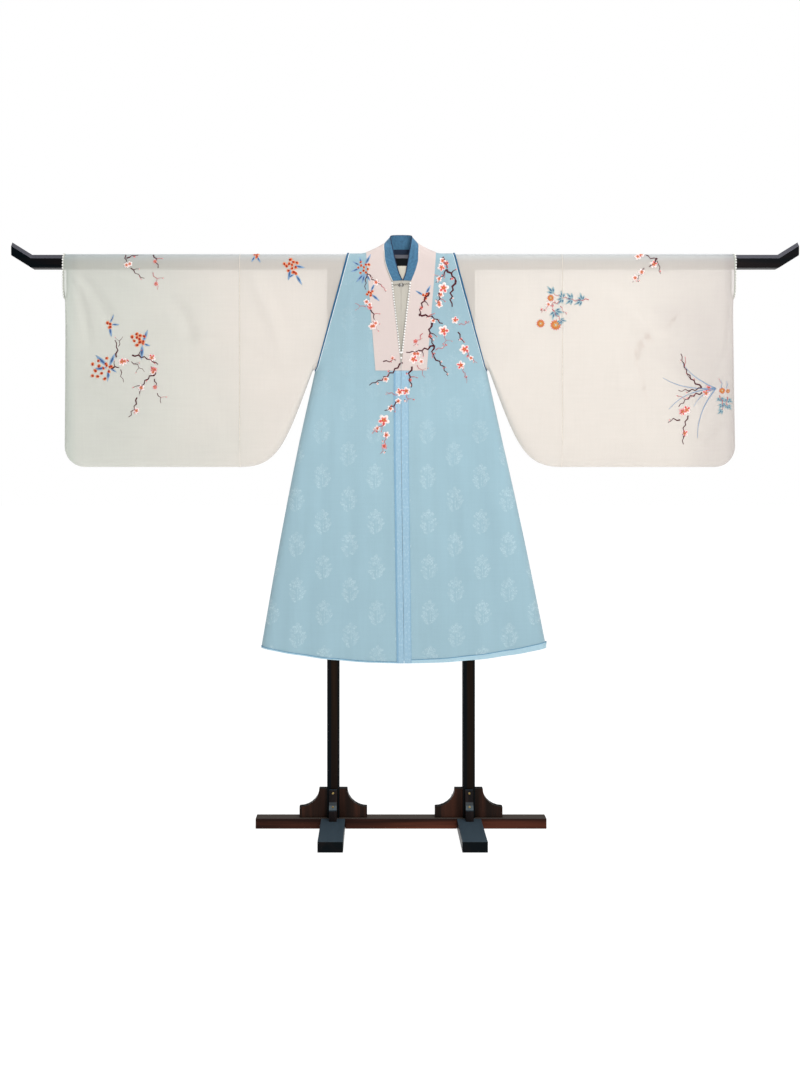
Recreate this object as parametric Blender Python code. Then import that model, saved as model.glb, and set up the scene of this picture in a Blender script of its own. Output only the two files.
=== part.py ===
"""A wide-sleeved blouse under a long sleeveless over-vest, hung on a dark wooden display stand.

Metres, +Z up. The front faces -Y, +X is to the viewer's right, and the origin is on the floor
under the middle of the rod. The stand's own middle lies a little to the left of it.

The cloth lies in layers that follow one form: over the rod, straight down its front and back, and
closed at the side seams and round the lower edges of the sleeves. A layer is named by its offset,
the distance that it lies outside the cloth next to the rod.
"""

import math

import bmesh
import bpy
from mathutils import Matrix, Vector

# The rod that carries the sleeves, with its two ends turned up
ROD_TOP = 1.600
ROD_HEIGHT = 0.038
ROD_HALF_DEPTH = 0.018
ROD_UPPER_CHAMFER = 0.012
ROD_LOWER_CHAMFER = 0.003
ROD_BEND = 1.0415
ROD_HALF_LENGTH = 1.097
ROD_TIP_RISE = 0.0345

# The two posts, the rail and the feet, halved into each other where they cross.
# Their middle, which the garments share, lies to the left of the rod's middle.
STAND_MIDDLE = -0.0112
POST_X = 0.189
POST_WIDTH = 0.034
RAIL_HALF_LENGTH = 0.405
RAIL_DEPTH = 0.040
FOOT_WIDTH = 0.067
FOOT_HALF_LENGTH = 0.220
BASE_HEIGHT = 0.029
WOOD_BEVEL = 0.0015

# The curved brackets round each post
BRACKET_THICKNESS = 0.021
BRACKET_HEIGHT = 0.080
BRACKET_FLAT = 0.022
BRACKET_END_STEP = 0.029
BRACKET_STEPS = 7
SIDE_BRACKET_REACH = 0.077
CROSS_BRACKET_REACH = 0.034

# Pieces that touch are kept this far apart
GAP = 0.0003

# The form that every layer of cloth follows. Folds and the neck fade out by the same power.
SPRING = 1.579
HANG = 0.0202
ARCH_RISE = 0.0228
ARCH_ANGLES = tuple(math.radians(step * 22.5) for step in range(5))
CLOSE_ANGLES = tuple(math.radians(step * 30) for step in range(1, 4))
CLOSING = 0.030
FADE_POWER = 1.5
SHOULDER_TOP = SPRING + ARCH_RISE

# Where the stiff neck holds the shoulder line above the rod
NECK_LIFT = 0.028
NECK_LIFT_END = 0.112
NECK_LIFT_FULL = 0.048

# The neck opening, its depth at the middle of the back as an angle round the rod, and its columns
NECK_SIDE = 0.0490
BACK_NECK_ANGLE = math.radians(25)
NECK_SHARES = (0.0, 0.5, 0.866, 0.966)

# Cells across a front band beyond its strip, from there to the side, and columns of the bands and strips
BAND_CELLS = 3
VEST_FRONT_CELLS = 5
VEST_BACK_CELLS = 4
BLOUSE_CELLS = 2
BAND_COLUMNS = 5
STRIP_COLUMNS = 2
BACK_BAND_COLUMNS = 7
PIPING_COLUMNS = 2

# The layers, as offsets of a wall's inner and outer face
BLOUSE_WALL = (0.0, 0.0012)
VEST_WALL = (0.0018, 0.0030)
BAND_WALL = (0.0034, 0.0044)
PIPING_WALL = (0.0034, 0.0054)
CUFF_WALL = (-0.0001, 0.0017)

# The over-vest
VEST_SHOULDER_HALF = 0.150
VEST_UNDERARM_HALF = 0.2374
VEST_HEM_HALF = 0.3958
VEST_SIDE_BOW = 0.005
UNDERARM = 1.275
HEM_CENTRE = 0.461
HEM_SIDE = 0.503
HEM_DRIFT = 0.0084
DRIFT_TOP = 1.080
VEST_LEVELS = (HEM_CENTRE, 0.60, 0.76, 0.92, 1.08, 1.19, UNDERARM)
V_LEVELS = (1.284, 1.298, 1.318, 1.40, 1.47, 1.5225, 1.5525, SPRING)
STRIP_WIDTH = 0.0207
STRIP_SHARE = 0.30
BAND_TOP_HALF = 0.0975
BAND_BOTTOM_HALF = 0.0714
GUIDE_HEM_HALF = 0.150
BACK_BAND_BOTTOM = 1.5225

# Half the width of the vest's front opening and neck: height, half width
VEST_NECKLINE = (
    (UNDERARM, 0.0004),
    (1.318, 0.0038),
    (1.5225, 0.0272),
    (1.5525, 0.0396),
    (SPRING, 0.0470),
    (SHOULDER_TOP, NECK_SIDE),
)

# Soft folds of the skirt of the vest: place and half width as shares of its half width, height at the hem
FOLDS = (
    (0.30, 0.13, 0.005),
    (0.56, 0.14, 0.008),
    (0.80, 0.11, 0.006),
)
FOLD_TOP = 1.19

# The blouse under it
BLOUSE_HEM = 0.950
BLOUSE_FLARE = 0.16
SLEEVE_TOP_START = 0.135
SLEEVE_BOTTOM_START = (0.231, 1.284)
SLEEVE_CLEARANCE = 0.0006
BLOUSE_UNDERARM = SLEEVE_BOTTOM_START[1] - BLOUSE_WALL[1] - SLEEVE_CLEARANCE
BLOUSE_SIDE_STEP = 0.001
BLOUSE_LEVELS = (
    BLOUSE_HEM,
    1.06,
    1.17,
    1.262,
    BLOUSE_UNDERARM,
    1.293,
    1.312,
    1.40,
    1.47,
    1.5245,
    1.5525,
    SPRING,
)

# Half the width of the blouse's neck opening, behind the collar: height, half width
BLOUSE_NECKLINE = (
    (1.5245, 0.0003),
    (1.5525, 0.0240),
    (SPRING, 0.0340),
    (1.5951, 0.0430),
    (SHOULDER_TOP, NECK_SIDE),
)

# The sleeves: underarm curve, level lower edge, round outer corner and the sewn end below the cuff
SLEEVE_START_TURN = (0.240, 1.2805)
UNDERARM_CURVE = ((0.2475, 1.2765), (0.323, 1.068), (0.345, 1.008), (0.4490, 1.008))
UNDERARM_CURVE_STEPS = 6
SLEEVE_SEAM = UNDERARM_CURVE[-1][0]
SLEEVE_BOTTOM = UNDERARM_CURVE[-1][1]
SLEEVE_END = 0.9375
SLEEVE_PULL = 0.0030
SLEEVE_CORNER = 0.056
CORNER_STEPS = 4
BOTTOM_STEPS = 4
END_STEPS = 4
CUFF_X = 0.9320
CUFF_PULL = 0.0050
CUFF_BOTTOM = 1.480
CUFF_DEPTH = 0.005
SLEEVE_CLOSING_EXTRA = 0.070
FLAT_STEPS = 4

# The stand collar, from the throat to the middle of the back, on the viewer's right.
# Lower edge x, y, z, then free upper edge x, y, z, then the way its outside faces in degrees, 0 is front.
COLLAR_SECTIONS = (
    (0.0276, -0.0218, 1.5245, 0.0009, -0.0218, 1.5262, 0),
    (0.0386, -0.0218, 1.5525, 0.0095, -0.0222, 1.5460, 0),
    (0.0456, -0.0218, 1.5790, 0.0140, -0.0226, 1.5650, 0),
    (0.0462, -0.0202, 1.5992, 0.0172, -0.0224, 1.5810, 20),
    (0.0464, -0.0155, 1.6163, 0.0200, -0.0214, 1.5995, 45),
    (0.0466, -0.0084, 1.6278, 0.0232, -0.0175, 1.6190, 68),
    (0.0468, 0.0000, 1.6317, 0.0268, -0.0085, 1.6390, 90),
    (0.0455, 0.0056, 1.6300, 0.0286, 0.0020, 1.6510, 115),
    (0.0408, 0.0103, 1.6244, 0.0268, 0.0090, 1.6560, 135),
    (0.0236, 0.0162, 1.6098, 0.0160, 0.0150, 1.6585, 160),
    (0.0000, 0.0180, 1.6030, 0.0000, 0.0165, 1.6590, 180),
)
COLLAR_WALL_THICKNESS = 0.0016
COLLAR_BULGE = 0.0045
COLLAR_CELLS = 4

# Small fasteners, as half width, half height and thickness
THROAT_CLASP = (0.0035, 0.0050, 0.0024)
THROAT_CLASP_Z = 1.5130
FRONT_CLASP = (0.0050, 0.0080, 0.0026)
FRONT_CLASP_Z = 1.3140


def blend(first, second, share):
    return first + (second - first) * share


def read_table(rows, height):
    """The half width at a height, on straight lines between a table's rows."""
    if height <= rows[0][0]:
        return rows[0][1]
    for (low, at_low), (high, at_high) in zip(rows, rows[1:]):
        if height <= high:
            return blend(at_low, at_high, (height - low) / (high - low))
    return rows[-1][1]


def cloth_colour(name, colour, roughness=0.8):
    """A Principled material of one colour."""
    material = bpy.data.materials.new(name)
    material.use_nodes = True
    shader = material.node_tree.nodes["Principled BSDF"]
    shader.inputs["Base Color"].default_value = (*colour, 1.0)
    shader.inputs["Roughness"].default_value = roughness
    shader.inputs["Metallic"].default_value = 0.0
    material.diffuse_color = (*colour, 1.0)
    return material


def add_object(name, mesh, material):
    """Turns a bmesh into a named object whose faces point out."""
    bmesh.ops.recalc_face_normals(mesh, faces=mesh.faces)
    data = bpy.data.meshes.new(name)
    mesh.to_mesh(data)
    mesh.free()
    data.materials.append(material)
    piece = bpy.data.objects.new(name, data)
    bpy.context.scene.collection.objects.link(piece)
    return piece


def splits_upwards(corners):
    """Whether a cell's first diagonal runs from its lower inner corner to its upper outer one."""
    first, second, third, fourth = corners
    outwards = abs(second.x) + abs(third.x) > abs(first.x) + abs(fourth.x)
    upwards = third.z + fourth.z > first.z + second.z
    return outwards == upwards


def cloth_wall(name, inner, outer, ring, material):
    """A wall between two grids of points. A ring closes each row of the grids on itself.

    Every layer splits its cells the same way, so that layers on each other stay parallel.
    """
    mesh = bmesh.new()
    near = [[mesh.verts.new(point) for point in row] for row in inner]
    far = [[mesh.verts.new(point) for point in row] for row in outer]
    count = len(near[0])
    cells = [(c, (c + 1) % count) for c in range(count if ring else count - 1)]
    for r in range(len(near) - 1):
        for c, n in cells:
            cell = (inner[r][c], inner[r][n], inner[r + 1][n], inner[r + 1][c])
            first_way = ring or splits_upwards(cell)
            for low, high in ((near[r], near[r + 1]), (far[r], far[r + 1])):
                corners = (low[c], low[n], high[n], high[c])
                if not first_way:
                    corners = corners[1:] + corners[:1]
                mesh.faces.new(corners[:3])
                mesh.faces.new((corners[0], corners[2], corners[3]))
    for near_row, far_row in ((near[0], far[0]), (near[-1], far[-1])):
        for c, n in cells:
            mesh.faces.new((near_row[c], near_row[n], far_row[n], far_row[c]))
    if not ring:
        for c in (0, count - 1):
            for r in range(len(near) - 1):
                mesh.faces.new((near[r][c], near[r + 1][c], far[r + 1][c], far[r][c]))
    piece = add_object(name, mesh, material)
    piece.data.shade_smooth()
    return piece


# The form of the cloth


def neck_lift(x):
    """How far the neck holds the cloth above the rod at this distance from the middle."""
    run = (NECK_LIFT_END - abs(x)) / (NECK_LIFT_END - NECK_LIFT_FULL)
    return NECK_LIFT * min(max(run, 0.0), 1.0) ** FADE_POWER


def closing_share(distance):
    """The share of its full depth that the cloth has at this distance from a sewn edge."""
    return math.sqrt(1 - (1 - min(distance / CLOSING, 1.0)) ** 2)


def fold_height(x, z):
    """How far the soft folds of the vest stand out."""
    fade = max(FOLD_TOP - z, 0.0) / (FOLD_TOP - HEM_CENTRE)
    across = abs(x) / vest_half_width(z)
    height = 0.0
    for place, spread, rise in FOLDS:
        away = min(abs(across - place) / spread, 1.0)
        height += rise * (0.5 + 0.5 * math.cos(math.pi * away))
    return height * fade**FADE_POWER


def hung_point(x, z, angle, offset, face, share=1.0, stand_out=0.0):
    """A point of the layer at this offset. Angle 0 hangs at height z, and larger ones climb over the rod.

    Face is -1 for the front and +1 for the back.
    """
    depth = (HANG + offset) * math.cos(angle) * share + stand_out
    if angle > 0:
        z = SPRING + (ARCH_RISE + neck_lift(x) + offset) * math.sin(angle)
    return Vector((x, face * max(depth, GAP / 2), z))


def body_levels(levels):
    """The rows of a body panel from its hem to the shoulder line, as (nominal height, angle)."""
    rows = [(z, 0.0) for z in levels]
    rows += [(SPRING + ARCH_RISE * math.sin(angle), angle) for angle in ARCH_ANGLES[1:]]
    return rows


def side_columns(start, side, cells):
    """Places from start to the beginning of the closing edge, and then round it."""
    edge = side - CLOSING
    places = [blend(start, edge, step / cells) for step in range(cells + 1)]
    return places + [edge + CLOSING * math.sin(angle) for angle in CLOSE_ANGLES]


# The over-vest


def vest_half_width(z):
    """From the middle to the armhole, or below the underarm to the side seam."""
    if z > UNDERARM:
        return blend(VEST_UNDERARM_HALF, VEST_SHOULDER_HALF, (z - UNDERARM) / (SHOULDER_TOP - UNDERARM))
    down = (UNDERARM - z) / (UNDERARM - HEM_SIDE)
    return blend(VEST_UNDERARM_HALF, VEST_HEM_HALF, down) + VEST_SIDE_BOW * math.sin(math.pi * down)


def guide_half_width(z):
    """The outer edge of the front band, and the line that carries on from it to the hem."""
    if z > UNDERARM:
        return blend(BAND_BOTTOM_HALF, BAND_TOP_HALF, (z - UNDERARM) / (SHOULDER_TOP - UNDERARM))
    return blend(BAND_BOTTOM_HALF, GUIDE_HEM_HALF, (UNDERARM - z) / (UNDERARM - HEM_CENTRE))


def front_columns(inner, level, side, cells):
    """Places across one half of a front, from its opening over the band's width to the side."""
    guide = guide_half_width(level)
    strip = STRIP_WIDTH if level <= UNDERARM else blend(inner, guide, STRIP_SHARE)
    middle = [blend(strip, guide, step / BAND_CELLS) for step in range(BAND_CELLS)]
    return [inner] + middle + side_columns(guide, side, cells)


def vest_front_columns(level, side):
    """Places across one half of the vest's front."""
    return front_columns(read_table(VEST_NECKLINE, level), level, side, VEST_FRONT_CELLS)


def back_columns(level, side, cells):
    """Places across one half of a back, from its middle over the neck's and the band's width to the side."""
    down = (SHOULDER_TOP - level) / (SHOULDER_TOP - HEM_CENTRE)
    neck = NECK_SIDE * blend(1.0, VEST_HEM_HALF / VEST_SHOULDER_HALF, down)
    guide = blend(BAND_TOP_HALF, BAND_TOP_HALF * 2, down)
    inside = [neck * share for share in NECK_SHARES]
    return inside + [neck, (neck + guide) / 2] + side_columns(guide, side, cells)


def back_neck_angle(x, angle):
    """The angle of a back panel's row, brought down under the neck opening."""
    inside = math.sqrt(max(1 - (x / NECK_SIDE) ** 2, 0.0))
    return angle * blend(1.0, BACK_NECK_ANGLE / (math.pi / 2), inside)


def vest_point(x, level, angle, offset, face, side):
    """A point of a layer on the vest. Side is the half width of its row."""
    fade = max(UNDERARM - level, 0.0) / (UNDERARM - HEM_CENTRE)
    z = level + (HEM_SIDE - HEM_CENTRE) * fade * (x / side) ** 2
    edge = side + (offset if level <= UNDERARM else 0.0)
    x_out = x + (edge - side) * (x / side) ** 4
    away = math.hypot(edge - x_out, max(z - UNDERARM, 0.0))
    stand_out = fold_height(x, z) if angle == 0 else 0.0
    return hung_point(x_out, z, angle, offset, face, closing_share(away), stand_out)


def row_side(level):
    """The half width of the vest where a row of its points meets the side."""
    fade = max(UNDERARM - level, 0.0) / (UNDERARM - HEM_CENTRE)
    return vest_half_width(level + (HEM_SIDE - HEM_CENTRE) * fade)


def place_vest_point(hand, point):
    """Sets a point on its own side of the middle. The skirt drifts to the right towards its hem."""
    down = max(DRIFT_TOP - point.z, 0.0) / (DRIFT_TOP - HEM_CENTRE)
    return Vector((hand * point.x + HEM_DRIFT * down, point.y, point.z))


def vest_front_grid(hand, offset, last=None, lowest=0.0, highest=math.inf):
    """Rows of points over one half of the front, or over some of its columns and levels."""
    rows = []
    for level, angle in body_levels(VEST_LEVELS + V_LEVELS):
        if not lowest <= level <= highest:
            continue
        side = row_side(level)
        columns = vest_front_columns(level, side)[:last]
        points = [vest_point(x, level, angle, offset, -1, side) for x in columns]
        rows.append([place_vest_point(hand, point) for point in points])
    return rows


def vest_back_grid(offset, last=None, lowest=0.0):
    """Rows of points over the back, from its left side to its right, or over the middle of it."""
    rows = []
    for level, angle in body_levels(VEST_LEVELS + V_LEVELS):
        if level < lowest:
            continue
        side = row_side(level)
        half = []
        for x in back_columns(level, side, VEST_BACK_CELLS)[:last]:
            half.append(vest_point(x, level, back_neck_angle(x, angle), offset, 1, side))
        left = [place_vest_point(-1, point) for point in reversed(half[1:])]
        rows.append(left + [place_vest_point(1, point) for point in half])
    return rows


def build_vest(blue):
    """Two fronts and a back, sewn at the shoulders and the sides."""
    for hand, word in ((-1, "left"), (1, "right")):
        faces = [vest_front_grid(hand, offset) for offset in VEST_WALL]
        cloth_wall(f"vest_front_{word}", *faces, False, blue)
    cloth_wall("vest_back", *[vest_back_grid(offset) for offset in VEST_WALL], False, blue)


def build_bands(cream, strip_blue):
    """The pale bands on the chest and round the back of the neck, and the strips down the front."""
    for hand, word in ((-1, "left"), (1, "right")):
        faces = [vest_front_grid(hand, offset, BAND_COLUMNS, UNDERARM) for offset in BAND_WALL]
        cloth_wall(f"band_front_{word}", *faces, False, cream)
        low = [vest_front_grid(hand, offset, STRIP_COLUMNS, 0.0, UNDERARM - GAP) for offset in BAND_WALL]
        top = [vest_strip_top(hand, offset) for offset in BAND_WALL]
        faces = [face + [row] for face, row in zip(low, top)]
        cloth_wall(f"centre_strip_{word}", *faces, False, strip_blue)
    faces = [vest_back_grid(offset, BACK_BAND_COLUMNS, BACK_BAND_BOTTOM) for offset in BAND_WALL]
    cloth_wall("band_back", *faces, False, cream)


def vest_strip_top(hand, offset):
    """The upper end of a centre strip, just under the band."""
    side = row_side(UNDERARM)
    level = UNDERARM - GAP
    columns = vest_front_columns(level, side)[:STRIP_COLUMNS]
    points = [vest_point(x, level, 0.0, offset, -1, side) for x in columns]
    return [place_vest_point(hand, point) for point in points]


def build_piping(navy):
    """The dark edging of the armholes, from the underarm over the shoulder and back."""
    rows = [row for row in body_levels(VEST_LEVELS + V_LEVELS) if row[0] >= UNDERARM]
    path = [(level, angle, -1) for level, angle in rows]
    path += [(level, angle, 1) for level, angle in reversed(rows[:-1])]
    for hand, word in ((-1, "left"), (1, "right")):
        faces = []
        for offset in PIPING_WALL:
            grid = []
            for level, angle, face in path:
                side = row_side(level)
                places = vest_front_columns(level, side)[-PIPING_COLUMNS:]
                points = [vest_point(x, level, angle, offset, face, side) for x in places]
                grid.append([place_vest_point(hand, point) for point in points])
            faces.append(grid)
        cloth_wall(f"armhole_piping_{word}", *faces, False, navy)


# The blouse


def blouse_half_width(z):
    """From the middle to the sleeve seam, or below the underarm to the side seam."""
    bottom_x, bottom_z = SLEEVE_BOTTOM_START
    if z > BLOUSE_UNDERARM:
        seam = blend(bottom_x, SLEEVE_TOP_START, (z - bottom_z) / (SHOULDER_TOP - bottom_z))
        return seam - GAP
    return bottom_x - BLOUSE_SIDE_STEP + (BLOUSE_UNDERARM - z) * BLOUSE_FLARE


def blouse_point(x, level, angle, offset, face, side):
    """A point of a layer on the blouse's body."""
    edge = side + (offset if level <= BLOUSE_UNDERARM else 0.0)
    x_out = x + (edge - side) * (x / side) ** 4
    away = math.hypot(edge - x_out, max(level - BLOUSE_UNDERARM, 0.0))
    return hung_point(x_out, level, angle, offset, face, closing_share(away))


def build_blouse(cream):
    """The body of the blouse: two fronts that meet down the middle, and a back."""
    for hand, word in ((-1, "left"), (1, "right")):
        faces = []
        for offset in BLOUSE_WALL:
            grid = []
            for level, angle in body_levels(BLOUSE_LEVELS):
                side = blouse_half_width(level + offset * math.sin(angle))
                columns = front_columns(read_table(BLOUSE_NECKLINE, level), level, side, BLOUSE_CELLS)
                points = [blouse_point(x, level, angle, offset, -1, side) for x in columns]
                grid.append([Vector((hand * p.x, p.y, p.z)) for p in points])
            faces.append(grid)
        cloth_wall(f"blouse_front_{word}", *faces, False, cream)
    faces = []
    for offset in BLOUSE_WALL:
        grid = []
        for level, angle in body_levels(BLOUSE_LEVELS):
            side = blouse_half_width(level + offset * math.sin(angle))
            half = []
            for x in back_columns(level, side, BLOUSE_CELLS):
                half.append(blouse_point(x, level, back_neck_angle(x, angle), offset, 1, side))
            grid.append([Vector((-p.x, p.y, p.z)) for p in reversed(half[1:])] + half)
        faces.append(grid)
    cloth_wall("blouse_back", *faces, False, cream)


def underarm_points():
    """The lower edge of the sleeve from the underarm to the seam, on one cubic curve."""
    points = [SLEEVE_BOTTOM_START, SLEEVE_START_TURN]
    for step in range(UNDERARM_CURVE_STEPS + 1):
        t = step / UNDERARM_CURVE_STEPS
        weights = ((1 - t) ** 3, 3 * t * (1 - t) ** 2, 3 * t * t * (1 - t), t**3)
        x = sum(w * point[0] for w, point in zip(weights, UNDERARM_CURVE))
        z = sum(w * point[1] for w, point in zip(weights, UNDERARM_CURVE))
        points.append((x, z))
    return points


def cuff_place(hand):
    """How far out a sleeve's cut end is. Both sleeves are pulled a little to the left."""
    return CUFF_X - hand * CUFF_PULL


def outer_points(hand):
    """The lower edge from the seam, round the corner and up the end to the cuff."""
    end_x = SLEEVE_END - hand * SLEEVE_PULL
    corner_x = end_x - SLEEVE_CORNER
    corner_z = SLEEVE_BOTTOM + SLEEVE_CORNER
    points = []
    for step in range(BOTTOM_STEPS + 1):
        points.append((blend(SLEEVE_SEAM + GAP, corner_x, step / BOTTOM_STEPS), SLEEVE_BOTTOM))
    for step in range(1, CORNER_STEPS + 1):
        turn = math.pi / 2 * step / CORNER_STEPS
        across = SLEEVE_CORNER * math.sin(turn)
        points.append((corner_x + across, corner_z - SLEEVE_CORNER * math.cos(turn)))
    for step in range(1, END_STEPS + 1):
        share = step / END_STEPS
        points.append((blend(end_x, cuff_place(hand), share), blend(corner_z, CUFF_BOTTOM, share)))
    return points


def running_lengths(points):
    """How far along the line each point is."""
    lengths = [0.0]
    for first, second in zip(points, points[1:]):
        lengths.append(lengths[-1] + math.dist(first, second))
    return lengths


def sleeve_ring(hand, top_x, bottom, offset, closing):
    """A closed section of the sleeve, from its top on the rod down to a point of its lower edge."""
    ray = Vector((bottom[0] - top_x, 0.0, bottom[1] - SHOULDER_TOP))
    length = ray.length
    ray.normalize()
    half = []
    for angle in reversed(ARCH_ANGLES):
        z = SPRING + (ARCH_RISE + offset) * math.sin(angle)
        half.append(((HANG + offset) * math.cos(angle), (z - SHOULDER_TOP) / ray.z))
    spring = half[-1][1]
    for step in range(1, FLAT_STEPS + 1):
        half.append((HANG + offset, blend(spring, length - closing, step / FLAT_STEPS)))
    for angle in CLOSE_ANGLES[:-1]:
        down = length - closing + (closing + offset) * math.sin(angle)
        half.append(((HANG + offset) * math.cos(angle), down))
    half[0] = (0.0, half[0][1])
    around = [(-depth, down) for depth, down in half]
    around += [(0.0, length + offset)]
    around += [(depth, down) for depth, down in reversed(half[1:])]
    start = Vector((top_x, 0.0, SHOULDER_TOP))
    points = [start + ray * down + Vector((0.0, depth, 0.0)) for depth, down in around]
    return [Vector((hand * p.x, p.y, p.z)) for p in points]


def build_sleeves(cream):
    """Each sleeve is an upper piece and an outer piece, sewn on at the edge of the cloth's width."""
    inner_run = underarm_points()
    inner_lengths = running_lengths(inner_run)
    outer_start = SLEEVE_SEAM + GAP
    for hand, word in ((-1, "left"), (1, "right")):
        outer_run = outer_points(hand)
        outer_lengths = running_lengths(outer_run)
        whole = inner_lengths[-1] + outer_lengths[-1]
        pieces = (
            ("sleeve_upper", inner_run, inner_lengths, 0.0, SLEEVE_TOP_START, SLEEVE_SEAM),
            ("sleeve_outer", outer_run, outer_lengths, inner_lengths[-1], outer_start, cuff_place(hand)),
        )
        for name, run, lengths, before, top_from, top_to in pieces:
            faces = []
            for offset in BLOUSE_WALL:
                rings = []
                for bottom, length in zip(run, lengths):
                    top_x = blend(top_from, top_to, length / lengths[-1])
                    along = (before + length) / whole
                    closing = CLOSING + SLEEVE_CLOSING_EXTRA * math.sin(math.pi * along)
                    rings.append(sleeve_ring(hand, top_x, bottom, offset, closing))
                faces.append(rings)
            cloth_wall(f"{name}_{word}", *faces, True, cream)


def build_cuffs(white):
    """The narrow bound edge of each sleeve opening."""
    for hand, word in ((-1, "left"), (1, "right")):
        faces = []
        for offset in CUFF_WALL:
            places = (cuff_place(hand) + GAP, cuff_place(hand) + CUFF_DEPTH)
            rings = [sleeve_ring(hand, x, (x, CUFF_BOTTOM), offset, CLOSING) for x in places]
            faces.append(rings)
        cloth_wall(f"cuff_{word}", *faces, True, white)


def build_collar(denim):
    """The stand collar, open at the throat, as one curved band."""
    right = []
    for low_x, low_y, low_z, top_x, top_y, top_z, facing in COLLAR_SECTIONS:
        low = Vector((low_x, low_y, low_z))
        top = Vector((top_x, top_y, top_z))
        out = Vector((math.sin(math.radians(facing)), -math.cos(math.radians(facing)), 0.0))
        right.append((low, top, out))
    mirror = Matrix.Diagonal((-1.0, 1.0, 1.0))
    left = [tuple(mirror @ vector for vector in section) for section in reversed(right[:-1])]
    faces = []
    for thickness in (0.0, COLLAR_WALL_THICKNESS):
        grid = []
        for low, top, out in right + left:
            bulge = COLLAR_BULGE * abs(out.x)
            row = []
            for step in range(COLLAR_CELLS + 1):
                share = step / COLLAR_CELLS
                lean = out * (thickness + bulge * math.sin(math.pi * share))
                row.append(low.lerp(top, share) + lean)
            grid.append(row)
        faces.append(grid)
    cloth_wall("collar", *faces, False, denim)


def add_clasp(name, sizes, z, offset, metal):
    """A small domed fastener that lies on the cloth in the middle of the front."""
    half_width, half_height, thickness = sizes
    mesh = bmesh.new()
    bmesh.ops.create_uvsphere(mesh, u_segments=10, v_segments=6, radius=1.0)
    size = Matrix.Diagonal((half_width, thickness / 2, half_height, 1.0))
    depth = -(HANG + offset + GAP + thickness / 2)
    bmesh.ops.transform(mesh, matrix=Matrix.Translation((0.0, depth, z)) @ size, verts=mesh.verts)
    add_object(name, mesh, metal).data.shade_smooth()


# The stand


def add_box(name, low, high, material):
    """A squared piece of wood with its edges eased."""
    mesh = bmesh.new()
    bmesh.ops.create_cube(mesh, size=1.0)
    low = Vector(low)
    high = Vector(high)
    size = Matrix.Diagonal((*(high - low), 1.0))
    bmesh.ops.transform(mesh, matrix=Matrix.Translation((low + high) / 2) @ size, verts=mesh.verts)
    return add_object(name, mesh, material)


def ease_edges(piece):
    bevel = piece.modifiers.new("eased edges", "BEVEL")
    bevel.width = WOOD_BEVEL
    bevel.segments = 2
    bevel.limit_method = "ANGLE"


def cut_notch(piece, name, low, high, material):
    """Cuts one half of a crossing joint out of a piece."""
    cutter = add_box(name, low, high, material)
    cutter.hide_render = True
    cutter.display_type = "WIRE"
    notch = piece.modifiers.new(name, "BOOLEAN")
    notch.operation = "DIFFERENCE"
    notch.object = cutter


def rod_section(x, rise):
    """The rod's section, with its two upper edges cut off broadly and the lower ones narrowly."""
    top = ROD_TOP + rise
    bottom = top - ROD_HEIGHT
    half = (
        (ROD_HALF_DEPTH - ROD_LOWER_CHAMFER, bottom),
        (ROD_HALF_DEPTH, bottom + ROD_LOWER_CHAMFER),
        (ROD_HALF_DEPTH, top - ROD_UPPER_CHAMFER),
        (ROD_HALF_DEPTH - ROD_UPPER_CHAMFER, top),
    )
    outline = list(half) + [(-y, z) for y, z in reversed(half)]
    return [Vector((x, y, z)) for y, z in outline]


def build_rod(wood):
    """The rod runs straight between its bends and rises to its cut ends."""
    mesh = bmesh.new()
    stations = (
        (-ROD_HALF_LENGTH, ROD_TIP_RISE),
        (-ROD_BEND, 0.0),
        (ROD_BEND, 0.0),
        (ROD_HALF_LENGTH, ROD_TIP_RISE),
    )
    loops = [[mesh.verts.new(point) for point in rod_section(*station)] for station in stations]
    for first, second in zip(loops, loops[1:]):
        for i in range(len(first)):
            j = (i + 1) % len(first)
            mesh.faces.new((first[i], first[j], second[j], second[i]))
    mesh.faces.new(loops[0])
    mesh.faces.new(loops[-1])
    add_object("rod", mesh, wood)


def build_frame(wood):
    """Posts, rail and feet."""
    overlap = 0.01
    lap = BASE_HEIGHT / 2
    rail = add_box(
        "rail",
        (-RAIL_HALF_LENGTH, -RAIL_DEPTH / 2, 0.0),
        (RAIL_HALF_LENGTH, RAIL_DEPTH / 2, BASE_HEIGHT),
        wood,
    )
    for hand, word in ((-1, "left"), (1, "right")):
        centre = hand * POST_X
        post_base = BASE_HEIGHT + GAP
        post = add_box(
            f"post_{word}",
            (centre - POST_WIDTH / 2, -POST_WIDTH / 2, post_base),
            (centre + POST_WIDTH / 2, POST_WIDTH / 2, ROD_TOP - ROD_HEIGHT - GAP),
            wood,
        )
        ease_edges(post)
        foot = add_box(
            f"foot_{word}",
            (centre - FOOT_WIDTH / 2, -FOOT_HALF_LENGTH, 0.0),
            (centre + FOOT_WIDTH / 2, FOOT_HALF_LENGTH, BASE_HEIGHT),
            wood,
        )
        half_cut = FOOT_WIDTH / 2 + GAP
        low = (centre - half_cut, -RAIL_DEPTH, -overlap)
        high = (centre + half_cut, RAIL_DEPTH, lap + GAP)
        cut_notch(rail, f"rail_notch_{word}", low, high, wood)
        half_cut = RAIL_DEPTH / 2 + GAP
        low = (centre - FOOT_WIDTH, -half_cut, lap)
        high = (centre + FOOT_WIDTH, half_cut, BASE_HEIGHT + overlap)
        cut_notch(foot, f"foot_notch_{word}", low, high, wood)
        ease_edges(foot)
    ease_edges(rail)


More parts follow.
